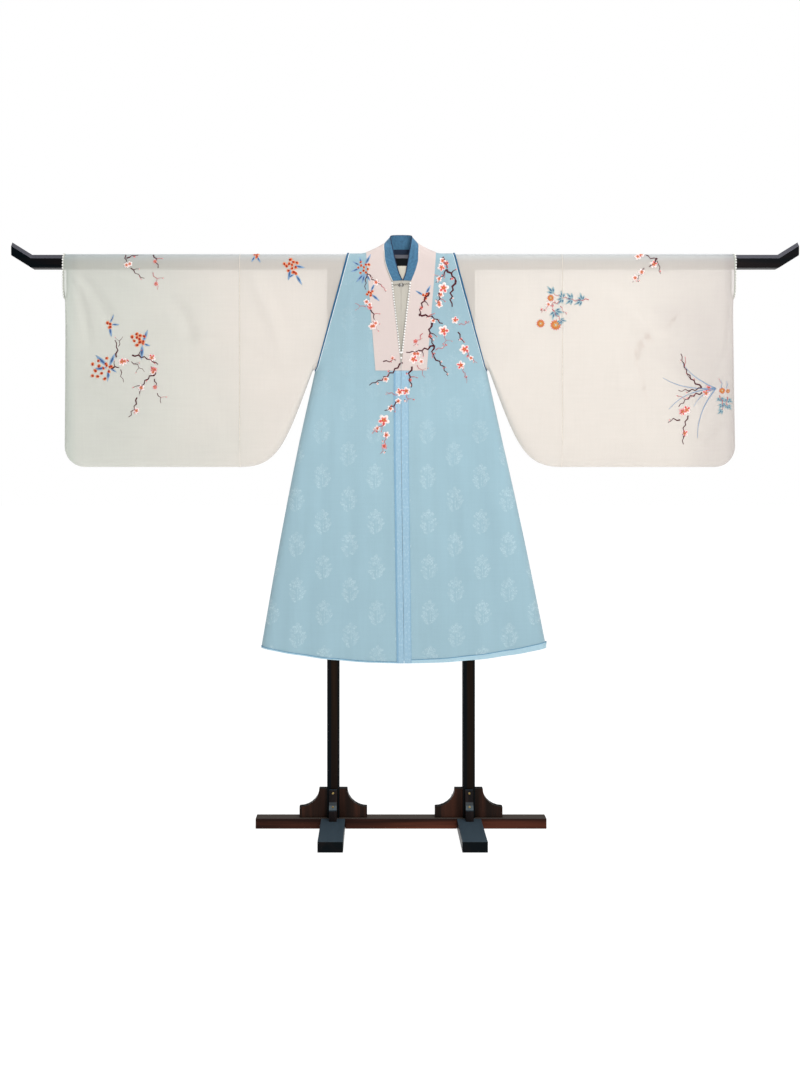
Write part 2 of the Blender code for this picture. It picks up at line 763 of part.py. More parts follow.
def bracket_outline(reach):
    """Flat top, hollow curve and upright end step, from the post outwards, as (distance, height)."""
    flat = BRACKET_FLAT * reach / SIDE_BRACKET_REACH
    across = reach - flat
    down = BRACKET_HEIGHT - BRACKET_END_STEP
    outline = [(0.0, 0.0), (0.0, BRACKET_HEIGHT)]
    for step in range(BRACKET_STEPS + 1):
        turn = math.pi / 2 * step / BRACKET_STEPS
        outline.append((reach - across * math.cos(turn), BRACKET_HEIGHT - down * math.sin(turn)))
    outline.append((reach, 0.0))
    return outline


def build_brackets(wood):
    """Four brackets round each post: two on the rail and two on the foot."""
    ways = (
        ("outer", SIDE_BRACKET_REACH),
        ("front", CROSS_BRACKET_REACH),
        ("inner", SIDE_BRACKET_REACH),
        ("rear", CROSS_BRACKET_REACH),
    )
    base = BASE_HEIGHT + GAP
    for hand, word in ((-1, "left"), (1, "right")):
        turns = {"outer": 0.0 if hand > 0 else 180.0, "inner": 180.0 if hand > 0 else 0.0}
        turns.update({"front": -90.0, "rear": 90.0})
        for way, reach in ways:
            mesh = bmesh.new()
            corners = [
                mesh.verts.new((POST_WIDTH / 2 + GAP + run, -BRACKET_THICKNESS / 2, base + height))
                for run, height in bracket_outline(reach)
            ]
            face = mesh.faces.new(corners)
            grown = bmesh.ops.extrude_face_region(mesh, geom=[face])["geom"]
            moved = [item for item in grown if isinstance(item, bmesh.types.BMVert)]
            bmesh.ops.translate(mesh, verts=moved, vec=(0.0, BRACKET_THICKNESS, 0.0))
            spin = Matrix.Rotation(math.radians(turns[way]), 4, "Z")
            bmesh.ops.transform(mesh, matrix=spin, verts=mesh.verts)
            bmesh.ops.translate(mesh, verts=mesh.verts, vec=(hand * POST_X, 0.0, 0.0))
            add_object(f"bracket_{word}_{way}", mesh, wood)


def set_beside_rod():
    """Moves all but the rod to the stand's own middle."""
    middle = bpy.data.objects.new("stand middle", None)
    middle.location.x = STAND_MIDDLE
    bpy.context.scene.collection.objects.link(middle)
    for piece in bpy.data.objects:
        if piece.name not in ("rod", middle.name):
            piece.parent = middle


def main():
    for old in list(bpy.data.objects):
        bpy.data.objects.remove(old, do_unlink=True)
    blue = cloth_colour("vest blue", (0.37, 0.55, 0.64))
    strip_blue = cloth_colour("strip blue", (0.35, 0.55, 0.71))
    cream = cloth_colour("cream cloth", (0.83, 0.78, 0.71))
    band_cream = cloth_colour("band cream", (0.83, 0.76, 0.72))
    navy = cloth_colour("piping blue", (0.02, 0.12, 0.24))
    denim = cloth_colour("collar blue", (0.07, 0.21, 0.37))
    pearl = cloth_colour("pearl", (0.88, 0.88, 0.86), 0.3)
    wood = cloth_colour("dark wood", (0.02, 0.011, 0.008), 0.35)
    build_rod(wood)
    build_frame(wood)
    build_brackets(wood)
    build_blouse(cream)
    build_sleeves(cream)
    build_cuffs(pearl)
    build_collar(denim)
    build_vest(blue)
    build_bands(band_cream, strip_blue)
    build_piping(navy)
    add_clasp("throat_clasp", THROAT_CLASP, THROAT_CLASP_Z, BLOUSE_WALL[1], pearl)
    add_clasp("front_clasp", FRONT_CLASP, FRONT_CLASP_Z, BAND_WALL[1], pearl)
    set_beside_rod()


main()
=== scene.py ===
"""Looks of a wide-sleeved blouse under a long sleeveless over-vest, hung on a dark wooden stand.

Metres, +Z up. The front faces -Y and +X is to the viewer's right. Every garment piece is a thin
shell on the form of its solid. Places on a garment are measured from the stand's middle.
"""

import logging
import math
import random
from collections.abc import Callable, Iterable, Sequence
from dataclasses import dataclass
from enum import Enum
from typing import NamedTuple

import bmesh
import bpy
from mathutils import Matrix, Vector


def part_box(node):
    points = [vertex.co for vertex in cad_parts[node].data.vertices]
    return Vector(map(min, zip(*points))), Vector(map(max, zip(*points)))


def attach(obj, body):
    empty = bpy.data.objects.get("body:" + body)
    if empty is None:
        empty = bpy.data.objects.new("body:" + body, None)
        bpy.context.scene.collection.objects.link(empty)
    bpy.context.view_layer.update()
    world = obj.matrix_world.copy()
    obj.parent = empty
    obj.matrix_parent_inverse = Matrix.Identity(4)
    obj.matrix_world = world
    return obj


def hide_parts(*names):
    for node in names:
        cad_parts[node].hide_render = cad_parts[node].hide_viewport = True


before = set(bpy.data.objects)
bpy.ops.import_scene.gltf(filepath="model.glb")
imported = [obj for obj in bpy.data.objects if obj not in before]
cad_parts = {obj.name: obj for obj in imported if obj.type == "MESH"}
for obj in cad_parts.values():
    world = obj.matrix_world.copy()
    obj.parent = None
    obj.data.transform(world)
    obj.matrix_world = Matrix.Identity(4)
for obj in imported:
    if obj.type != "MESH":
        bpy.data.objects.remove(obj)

LOG = logging.getLogger("outfit")
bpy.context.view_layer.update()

Triple = tuple[float, float, float]
Colour = Triple
Pair = tuple[float, float]
Spot = Pair
Number = "float | Signal"
WHITE: Colour = (1.0, 1.0, 1.0)


def srgb(red: int, green: int, blue: int) -> Colour:
    """A colour as seen on a screen, turned into the linear light that shaders use."""

    def linear(level: int) -> float:
        """One channel's linear value."""
        share = level / 255
        return share / 12.92 if share <= 0.04045 else ((share + 0.055) / 1.055) ** 2.4

    return linear(red), linear(green), linear(blue)


def blend(first: float, second: float, share: float) -> float:
    """The value at a share of the way from the first to the second."""
    return first + (second - first) * share


def ease(share: float) -> float:
    """A soft step from 0 to 1."""
    share = min(max(share, 0.0), 1.0)
    return share * share * (3 - 2 * share)


def bump(away: float) -> float:
    """A round bump, 1 in its middle and 0 from 1 on."""
    return 0.5 + 0.5 * math.cos(math.pi * min(away, 1.0))


def spread(low: float, high: float, steps: int) -> list[float]:
    """Even places from low to high, both ends included."""
    return [blend(low, high, step / steps) for step in range(steps + 1)]


def refine(stops: Sequence[float], most: float) -> list[float]:
    """Adds even places between stops wherever they lie further apart than most."""
    places = [stops[0]]
    for low, high in zip(stops, stops[1:]):
        steps = max(1, math.ceil((high - low) / most))
        places += spread(low, high, steps)[1:]
    return places


def read_table(rows: Sequence[Spot], height: float) -> float:
    """The half width at a height, on straight lines between a table's rows."""
    if height <= rows[0][0]:
        return rows[0][1]
    for (low, at_low), (high, at_high) in zip(rows, rows[1:]):
        if height <= high:
            return blend(at_low, at_high, (height - low) / (high - low))
    return rows[-1][1]


# Shader maths


@dataclass(frozen=True)
class Signal:
    """A value on its way through a material, with arithmetic that adds Math nodes."""

    graph: "Graph"
    socket: bpy.types.NodeSocket

    def math(self, operation: str, *others: Number) -> "Signal":
        """Adds one Math node whose first value is this one."""
        return self.graph.math(operation, self, *others)

    def __add__(self, other: Number) -> "Signal":
        """This value plus another."""
        return self.math("ADD", other)

    def __sub__(self, other: Number) -> "Signal":
        """This value less another."""
        return self.math("SUBTRACT", other)

    def __rsub__(self, other: float) -> "Signal":
        """A number less this value."""
        return self.graph.math("SUBTRACT", other, self)

    def __mul__(self, other: Number) -> "Signal":
        """This value times another."""
        return self.math("MULTIPLY", other)

    def __truediv__(self, other: Number) -> "Signal":
        """This value divided by another."""
        return self.math("DIVIDE", other)

    __radd__ = __add__
    __rmul__ = __mul__

    def __abs__(self) -> "Signal":
        """The value without its sign."""
        return self.math("ABSOLUTE")

    def sine(self) -> "Signal":
        """The sine of the value."""
        return self.math("SINE")

    def wave(self, pitch: float) -> "Signal":
        """A wave of this pitch along the value, from -1 to 1."""
        return (self * (math.tau / pitch)).sine()

    def floor(self) -> "Signal":
        """The whole number below the value."""
        return self.math("FLOOR")

    def most(self, other: Number) -> "Signal":
        """The larger of two values."""
        return self.math("MAXIMUM", other)

    def wrap(self, period: float) -> "Signal":
        """The value brought into the range from 0 to the period."""
        return self.math("WRAP", period, 0.0)

    def ramp(self, low: float, high: float) -> "Signal":
        """A soft step that is 0 at low and 1 at high."""
        settings = {"interpolation_type": "SMOOTHSTEP", "clamp": True}
        start = {"From Min": low, "From Max": high, "To Min": 0.0, "To Max": 1.0}
        if low > high:
            start = {"From Min": high, "From Max": low, "To Min": 1.0, "To Max": 0.0}
        node = self.graph.node("ShaderNodeMapRange", settings, {"Value": self, **start})
        return self.graph.signal(node, "Result")


class Graph:
    """The nodes of a material or of the world, built one call at a time."""

    def __init__(self, owner: bpy.types.ID, shader: str = "Principled BSDF") -> None:
        """Starts from the material or world that owns the nodes, and the name of its shader."""
        owner.use_nodes = True
        self.owner = owner
        self.tree = owner.node_tree
        self.shader = self.tree.nodes[shader]

    def node(self, kind: str, settings: dict | None = None, inputs: dict | None = None) -> bpy.types.Node:
        """Adds one node.

        Args:
            kind: The node's type.
            settings: Its properties, set before its sockets. A ramp's stops are "stops".
            inputs: Values or signals for its sockets, by name or number.

        Returns:
            The new node.
        """
        node = self.tree.nodes.new(kind)
        for key, value in (settings or {}).items():
            if key == "stops":
                self.set_stops(node, value)
            else:
                setattr(node, key, value)
        for key, value in (inputs or {}).items():
            self.feed(node.inputs[key], value)
        return node

    def set_stops(self, node: bpy.types.Node, stops: Sequence[tuple[float, Colour]]) -> None:
        """Gives a colour ramp its stops."""
        ramp = node.color_ramp
        while len(ramp.elements) < len(stops):
            ramp.elements.new(1.0)
        for element, (place, colour) in zip(ramp.elements, stops):
            element.position = place
            element.color = (*colour, 1.0)

    def feed(self, socket: bpy.types.NodeSocket, value: object) -> None:
        """Links a signal to a socket, or sets the socket's own value."""
        if isinstance(value, Signal):
            self.tree.links.new(value.socket, socket)
        elif isinstance(value, tuple) and len(value) == 3 and socket.type == "RGBA":
            socket.default_value = (*value, 1.0)
        else:
            socket.default_value = value

    def signal(self, node: bpy.types.Node, output: str | int = 0) -> Signal:
        """One output of a node."""
        return Signal(self, node.outputs[output])

    def math(self, operation: str, *values: Number) -> Signal:
        """Adds a Math node."""
        inputs = dict(enumerate(values))
        return self.signal(self.node("ShaderNodeMath", {"operation": operation}, inputs))

    def mix(self, share: Number, first: "Colour | Signal", second: "Colour | Signal") -> Signal:
        """Mixes two colours."""
        settings = {"data_type": "RGBA", "clamp_factor": True}
        return self.signal(self.node("ShaderNodeMix", settings, {0: share, 6: first, 7: second}), 2)

    def shaded(self, colour: "Colour | Signal", share: Signal) -> Signal:
        """A colour made lighter or darker."""
        inputs = {0: colour, "Scale": share}
        return self.signal(self.node("ShaderNodeVectorMath", {"operation": "SCALE"}, inputs))

    def coordinates(self, source: str) -> Signal:
        """Texture coordinates of one kind, such as UV, Object or Normal."""
        return self.signal(self.node("ShaderNodeTexCoord"), source)

    def axes(self, vector: Signal) -> tuple[Signal, Signal, Signal]:
        """The three numbers of a vector."""
        node = self.node("ShaderNodeSeparateXYZ", None, {0: vector})
        return self.signal(node, 0), self.signal(node, 1), self.signal(node, 2)

    def noise(self, vector: Signal, scale: float, detail: float = 2.0, roughness: float = 0.5) -> Signal:
        """Soft noise from 0 to 1."""
        inputs = {"Vector": vector, "Scale": scale, "Detail": detail, "Roughness": roughness}
        return self.signal(self.node("ShaderNodeTexNoise", None, inputs), 0)

    def drawn(self, vector: Signal, scale: Triple, detail: float, roughness: float = 0.5) -> Signal:
        """Noise with a fineness of its own along each axis."""
        node = self.node("ShaderNodeMapping", None, {"Vector": vector, "Scale": Vector(scale)})
        return self.noise(self.signal(node), 1.0, detail, roughness)

    def bump(self, height: Signal, strength: float, distance: float) -> None:
        """Feeds the shader's normal from a height in metres."""
        inputs = {"Strength": strength, "Distance": distance, "Height": height}
        self.feed(self.shader.inputs["Normal"], self.signal(self.node("ShaderNodeBump", None, inputs)))

    def set(self, **values: object) -> None:
        """Sets or links sockets of the shader. Underscores stand for spaces."""
        for key, value in values.items():
            self.feed(self.shader.inputs[key.replace("_", " ")], value)


# Finishes


class Figure(Enum):
    """What is woven into a cloth beside its threads."""

    NONE = "none"
    SPRIG = "sprig"
    STRIPE = "stripe"


class Surface:
    """The surface of a cloth while the nodes of its material are added."""

    def __init__(self, name: str, colour: Colour, roughness: float) -> None:
        """Starts from a plain colour on the piece's own UV map, which is in metres."""
        self.graph = Graph(bpy.data.materials.new(name))
        self.place = self.graph.coordinates("UV")
        self.across, self.up, _ = self.graph.axes(self.place)
        self.ground: Colour | Signal = colour
        self.rough: Number = roughness
        self.shade: Number = 1.0
        self.height: Number = 0.0

    def streaks(self, across: float, up: float, detail: float) -> Signal:
        """Noise with one fineness across the cloth and another up it."""
        return self.graph.drawn(self.place, (across, up, 1.0), detail)


@dataclass(frozen=True)
class SprigLeaf:
    """One petal or leaf of the woven sprig, as an ellipse measured from the sprig's middle."""

    across: float
    up: float
    length: float
    width: float
    turn: float


@dataclass(frozen=True)
class SprigRepeat:
    """The woven sprig, and how it repeats in columns that start half a repeat apart.

    Upwards from the second height of clear to the first the sprigs grow fainter, as painted shade on the
    chest, and between the heights of dim the cloth is painted darker, as painted shade on the chest.
    """

    pitch_across: float = 0.0735
    pitch_up: float = 0.126
    shift: Spot = (0.03675, 0.026)
    softness: float = 0.5
    petals: int = 5
    bloom_up: float = 0.017
    bloom_reach: float = 0.0095
    petal: Pair = (0.0088, 0.0062)
    leaf: Pair = (0.0125, 0.0052)
    leaf_lean: float = 48.0
    leaf_step: float = 0.003
    leaf_pairs: tuple[Triple, ...] = (
        (-0.002, 0.013, 1.0),
        (-0.014, 0.015, 1.1),
        (-0.027, 0.010, 0.85),
    )
    stem: SprigLeaf = SprigLeaf(0.001, -0.014, 0.022, 0.0016, math.pi / 2)
    bud: SprigLeaf = SprigLeaf(-0.018, 0.012, 0.0060, 0.0042, 2.2)
    clear: Pair = (1.25, 0.95)
    dim: Pair = (1.15, 1.50)
    faintest: float = 0.30

    def leaves(self) -> list[SprigLeaf]:
        """A flower of five petals on a stem with three pairs of leaves and a bud."""
        shapes = [self.stem]
        for step in range(self.petals):
            turn = math.pi / 2 + step * math.tau / self.petals
            place = (self.bloom_reach * math.cos(turn), self.bloom_up + self.bloom_reach * math.sin(turn))
            shapes.append(SprigLeaf(*place, *self.petal, turn))
        for up, reach, size in self.leaf_pairs:
            for side in (-1, 1):
                turn = math.radians(90 - side * self.leaf_lean)
                place = (side * reach, up + side * self.leaf_step)
                shapes.append(SprigLeaf(*place, self.leaf[0] * size, self.leaf[1] * size, turn))
        return [*shapes, self.bud]

    def mask(self, graph: Graph, across: Signal, up: Signal) -> Signal:
        """Adds the nodes of the repeat.

        Args:
            graph: The material.
            across: Metres along the weft.
            up: Metres along the warp.

        Returns:
            1 on the figure, 0 on the ground.
        """
        across = across + self.shift[0]
        column = (across / self.pitch_across).floor()
        lift = column.wrap(2.0) * (self.pitch_up / 2) + self.shift[1]
        x = across - column * self.pitch_across - self.pitch_across / 2
        y = (up + lift).wrap(self.pitch_up) - self.pitch_up / 2
        whole: Signal | None = None
        for leaf in self.leaves():
            dx = x - leaf.across
            dy = y - leaf.up
            along = (dx * math.cos(leaf.turn) + dy * math.sin(leaf.turn)) / leaf.length
            aside = (dy * math.cos(leaf.turn) - dx * math.sin(leaf.turn)) / leaf.width
            inside = 1 - (along * along + aside * aside)
            whole = inside if whole is None else whole.most(inside)
        return whole.ramp(0.0, self.softness)

    def lay(self, surface: Surface, colour: Colour) -> None:
        """Weaves the sprigs, fainter in random patches, and paints shade on the chest, where the sprigs
        fade and the cloth darkens, and in streaks like folds.

        Args:
            surface: The cloth's surface.
            colour: The sprigs' colour.
        """
        graph, place, up = surface.graph, surface.place, surface.up
        mask = self.mask(graph, surface.across, up)
        # The first share fades the sprigs upwards as painted shade on the chest; the second thins them in
        # random patches.
        for kept in (up.ramp(*self.clear), graph.noise(place, 60.0, 2.0).ramp(0.34, 0.58)):
            mask = mask * (self.faintest + kept * (1 - self.faintest))
        grain = surface.streaks(430.0, 230.0, 1.0).ramp(0.46, 0.60)
        surface.ground = graph.mix(mask * (0.06 + grain * 0.46), surface.ground, colour)
        surface.rough = surface.rough - mask * 0.10
        surface.height = surface.height + mask * grain * 0.6
        # Painted shade: streaky noise darkens and lightens the cloth as its folds would, and the chest is
        # painted darker.
        folds = surface.streaks(30.0, 1.6, 2.0) - 0.5
        surface.shade = surface.shade - up.ramp(*self.dim) * 0.10 + folds * 0.10


@dataclass(frozen=True)
class RibRepeat:
    """The flecked ribs of the centre strips, between two twilled edges."""

    rib: float = 0.0042
    twill: float = 0.0050
    inner_edge: Pair = (0.0148, 0.0160)
    outer_edge: Pair = (0.0180, 0.0190)
    edge_colour: Colour = srgb(112, 158, 190)

    def lay(self, surface: Surface, colour: Colour) -> None:
        """Weaves the ribs.

        Args:
            surface: The cloth's surface.
            colour: The ribs' colour.
        """
        graph, across = surface.graph, surface.across
        rib = across.wave(self.rib) * 0.5 + 0.5
        twill = (across + surface.up).wave(self.twill) * 0.5 + 0.5
        fleck = surface.streaks(240.0, 120.0, 2.0).ramp(0.5, 0.68)
        edge = (0 - across).ramp(*self.inner_edge) + across.ramp(*self.outer_edge) * 0.6
        ribbed = graph.mix(rib * 0.35 + fleck * 0.6, surface.ground, colour)
        surface.ground = graph.mix(edge * (0.35 + twill * 0.5), ribbed, self.edge_colour)
        surface.height = surface.height + rib * 0.8 + edge * twill


@dataclass(frozen=True)
class PaintedSleeveShade:
    """Painted shade on a sleeve: its cream is painted cooler towards its end and bluer where the rod lies
    behind it.

    Each pair of places or heights is where a change starts and where it is complete.
    """

    # The colour of the painted shade towards the end; the rod's colour is the painted shade where the rod
    # shows through.
    colour: Colour
    reach: Pair
    drift: float = 0.45
    end: Pair = (0.895, 0.930)
    rod: Pair = (1.566, 1.612)
    painted_rod_shade_colour: Colour = srgb(222, 239, 250)
    shade_across: Pair = (0.892, 0.912)
    shade_up: Pair = (1.46, 1.54)

    def lay(self, surface: Surface) -> None:
        """Paints the cooler shade towards the end, the bluer shade over the rod, and shade in the upper
        corner.
        """
        graph, up = surface.graph, surface.up
        outward = abs(surface.across)
        drift = (graph.noise(surface.place, 3.4, 3.0) - 0.5) * self.drift
        # Painted shade: cooler towards the end, with a stronger band just before the cut end.
        painted_shade = (outward + drift).ramp(*self.reach) * 0.65 + outward.ramp(*self.end) * 0.35
        ground = graph.mix(painted_shade, surface.ground, self.colour)
        # Painted shade where the rod shows through the sheer cloth near the top.
        surface.ground = graph.mix(up.ramp(*self.rod) * 0.5, ground, self.painted_rod_shade_colour)
        # Painted shade in the upper corner by the end.
        corner = outward.ramp(*self.shade_across) * up.ramp(*self.shade_up)
        surface.shade = surface.shade - corner * 0.07


@dataclass(frozen=True)
class Cloth:
    """A woven cloth, on the piece's own UV map, which is in metres."""

    name: str
    colour: Colour
    figure_colour: Colour | None = None
    figure: Figure = Figure.NONE
    thread: float = 0.0007
    roughness: float = 0.72
    sheen: float = 0.25
    cover: float = 1.0
    blotch: float = 0.05
    blotch_scale: float = 7.0
    slub: float = 0.05
    # Painted shade of a sleeve, if the cloth has one.
    painted_shade: PaintedSleeveShade | None = None

    def dress(self) -> bpy.types.Material:
        """Makes the material.

        Returns:
            The material, with its threads, slubs and woven figure.
        """
        surface = Surface(self.name, self.colour, self.roughness)
        graph = surface.graph
        weave = surface.across.wave(self.thread) * surface.up.wave(self.thread)
        blotch = graph.noise(surface.place, self.blotch_scale, 3.0) - 0.5
        slub = (surface.streaks(9.0, 160.0, 3.0) - 0.5) + (surface.streaks(200.0, 11.0, 3.0) - 0.5)
        surface.shade = 1 + blotch * self.blotch * 2 + slub * self.slub + weave * 0.02
        surface.height = weave * 0.5 + slub * 0.8
        if self.figure is Figure.SPRIG:
            SprigRepeat().lay(surface, self.figure_colour)
        if self.figure is Figure.STRIPE:
            RibRepeat().lay(surface, self.figure_colour)
        if self.painted_shade:
            self.painted_shade.lay(surface)
        graph.set(Base_Color=graph.shaded(surface.ground, surface.shade), Roughness=surface.rough)
        graph.set(Sheen_Weight=self.sheen, Sheen_Roughness=0.4, Specular_IOR_Level=0.25)
        graph.bump(surface.height, 0.5, 0.00035)
        if self.cover < 1.0:
            graph.set(Alpha=self.cover)
        return graph.owner


@dataclass(frozen=True)
class Wood:
    """Dark lacquered wood whose grain runs along one axis."""

    name: str
    grain_axis: int
    ground: Colour = srgb(4, 11, 15)
    streak: Colour = srgb(26, 19, 18)
    # Painted light: the colour that faces pointing up take; the next colour is a painted highlight on edges
    # that slope up.
    painted_top_lighting: Colour = srgb(50, 62, 71)
    painted_edge_highlight: Colour = srgb(96, 108, 114)
    brown_strip: Pair | None = None
    brown_ground: Colour = srgb(23, 15, 9)
    brown_streak: Colour = srgb(44, 29, 18)
    fine: Pair = (170.0, 4.0)
    broad: Pair = (26.0, 1.3)

    def stretched(self, fineness: Pair) -> Triple:
        """The fineness along each axis, from that across the grain and that along it."""
        return tuple(fineness[axis == self.grain_axis] for axis in range(3))

    def dress(self) -> bpy.types.Material:
        """Makes the material.

        Returns:
            The material, with painted light on what faces up and a painted highlight on the rounded edges.
        """
        graph = Graph(bpy.data.materials.new(self.name))
        place = graph.coordinates("Object")
        grain = graph.drawn(place, self.stretched(self.fine), 5.0, 0.6)
        bands = graph.drawn(place, self.stretched(self.broad), 3.0)
        share = bands.ramp(0.42, 0.72) * 0.75 + grain.ramp(0.5, 0.8) * 0.45
        colour = graph.mix(share, self.ground, self.streak)
        if self.brown_strip:
            low, high = self.brown_strip
            soft = (high - low) * 0.15
            across = graph.axes(place)[0] + (bands - 0.5) * 0.006
            strip = across.ramp(low, low + soft) * across.ramp(high, high - soft)
            colour = graph.mix(strip, colour, graph.mix(share, self.brown_ground, self.brown_streak))
        up = graph.axes(graph.coordinates("Normal"))[2]
        # Painted light and shade: faces that point up take the colour given for the light from above.
        colour = graph.mix(up.ramp(0.55, 0.9) * (0.75 + grain * 0.5), colour, self.painted_top_lighting)
        # Painted highlight on rounded edges that slope upwards.
        colour = graph.mix(up.ramp(0.3, 0.6) * up.ramp(0.95, 0.8) * 0.8, colour, self.painted_edge_highlight)
        graph.set(Base_Color=colour, Roughness=0.28 + grain * 0.14, Specular_IOR_Level=0.05)
        graph.bump(grain, 0.35, 0.0004)
        return graph.owner


@dataclass(frozen=True)
class Hard:
    """Pearl, cord or brass: a smooth finish with faint clouding."""

    name: str
    colour: Colour
    cloud: Colour
    roughness: float = 0.25
    metallic: float = 0.0
    coat: float = 0.3

    def dress(self) -> bpy.types.Material:
        """Makes the material."""
        graph = Graph(bpy.data.materials.new(self.name))
        cloud = graph.noise(graph.coordinates("Object"), 160.0, 3.0)
        graph.set(Base_Color=graph.mix(cloud.ramp(0.35, 0.7), self.colour, self.cloud))
        graph.set(Roughness=self.roughness + cloud * 0.12, Metallic=self.metallic, Coat_Weight=self.coat)
        return graph.owner


@dataclass(frozen=True)
class Satin:
    """Satin stitch: one colour at the root of each stitched shape, another at its edge."""

    name: str
    root: Colour
    edge: Colour
    turn_at: float = 0.5
    softness: float = 0.18
    threads: float = 900.0

    def dress(self) -> bpy.types.Material:
        """Makes the material. Across runs round a shape and up runs from its root to its edge.

        Returns:
            The material, with its strands.
        """
        graph = Graph(bpy.data.materials.new(self.name))
        place = graph.coordinates("UV")
        across, up, _ = graph.axes(place)
        fray = graph.drawn(place, (2600.0, 260.0, 1.0), 2.0) - 0.5
        strand = (across * (math.tau * self.threads)).sine()
        share = (up + fray * 0.25).ramp(self.turn_at - self.softness, self.turn_at + self.softness)
        ground = graph.mix(share, self.root, self.edge)
        ground = graph.shaded(ground, 1 + strand * 0.07 + fray * 0.25)
        graph.set(Base_Color=ground, Roughness=0.5 + fray * 0.2)
        graph.set(Sheen_Weight=0.12, Sheen_Roughness=0.35, Specular_IOR_Level=0.3)
        graph.bump(strand + fray, 0.5, 0.0003)
        return graph.owner


Finish = Cloth | Wood | Hard | Satin


class Thread(Enum):
    """The threads of the embroidery."""

    BARK = Satin("thread bark", srgb(70, 10, 26), srgb(88, 20, 36))
    TWIG = Satin("thread rose twig", srgb(176, 84, 92), srgb(206, 128, 130))
    PETAL = Satin("thread petal", srgb(234, 128, 112), srgb(255, 243, 239), 0.52)
    ROSE = Satin("thread rose petal", srgb(206, 60, 70), srgb(244, 176, 174), 0.55)
    BLUSH = Satin("thread blush petal", srgb(226, 88, 86), srgb(252, 230, 226), 0.62)
    HEART = Satin("thread heart", srgb(204, 70, 36), srgb(224, 96, 50), 0.6)
    OCHRE = Satin("thread ochre", srgb(196, 138, 66), srgb(214, 164, 98))
    COPPER = Satin("thread copper", srgb(198, 84, 48), srgb(216, 140, 92), 0.6)
    BERRY = Satin("thread berry", srgb(214, 88, 46), srgb(240, 148, 100), 0.62)
    WINE = Satin("thread dark berry", srgb(140, 24, 18), srgb(180, 44, 26), 0.5)
    SLATE = Satin("thread slate", srgb(60, 92, 142), srgb(136, 168, 202))
    SEA = Satin("thread sea green", srgb(76, 112, 142), srgb(160, 188, 192), 0.5)
    FLAME = Satin("thread flame", srgb(206, 150, 72), srgb(222, 74, 38), 0.55)
    MIST = Satin("thread mist", srgb(170, 196, 214), srgb(226, 234, 236), 0.5)
    REED = Satin("thread reed", srgb(112, 138, 172), srgb(150, 176, 204))


# The form of the cloth


class ClothPoint(NamedTuple):
    """A point of a cloth, and its place on the cut cloth in metres."""

    place: Vector
    across: float
    up: float


Grid = list[list[ClothPoint]]
Path = list[Vector]
Row = Pair


@dataclass(frozen=True)
class Crease:
    """A soft ridge, or a trough where its height is negative, that runs between two points of the front."""

    start: Spot
    end: Spot
    half_width: float
    height: float
    bow: float = 0.0
    overrun: float = 0.25

    def at(self, x: float, z: float) -> float:
        """How far the crease stands out at a point."""
        run_x = self.end[0] - self.start[0]
        run_z = self.end[1] - self.start[1]
        length = math.hypot(run_x, run_z)
        along = ((x - self.start[0]) * run_x + (z - self.start[1]) * run_z) / length**2
        aside = ((x - self.start[0]) * run_z - (z - self.start[1]) * run_x) / length
        away = abs(aside + self.bow * math.sin(math.pi * along)) / self.half_width
        if away >= 1.0 or not -self.overrun < along < 1 + self.overrun:
            return 0.0
        soft = self.overrun * 2
        fade = ease((along + self.overrun) / soft) * ease((1 + self.overrun - along) / soft)
        return self.height * fade * bump(away)


def crease_height(creases: Iterable[Crease], x: float, z: float) -> float:
    """How far a set of creases stands out at a point."""
    return sum(crease.at(x, z) for crease in creases)


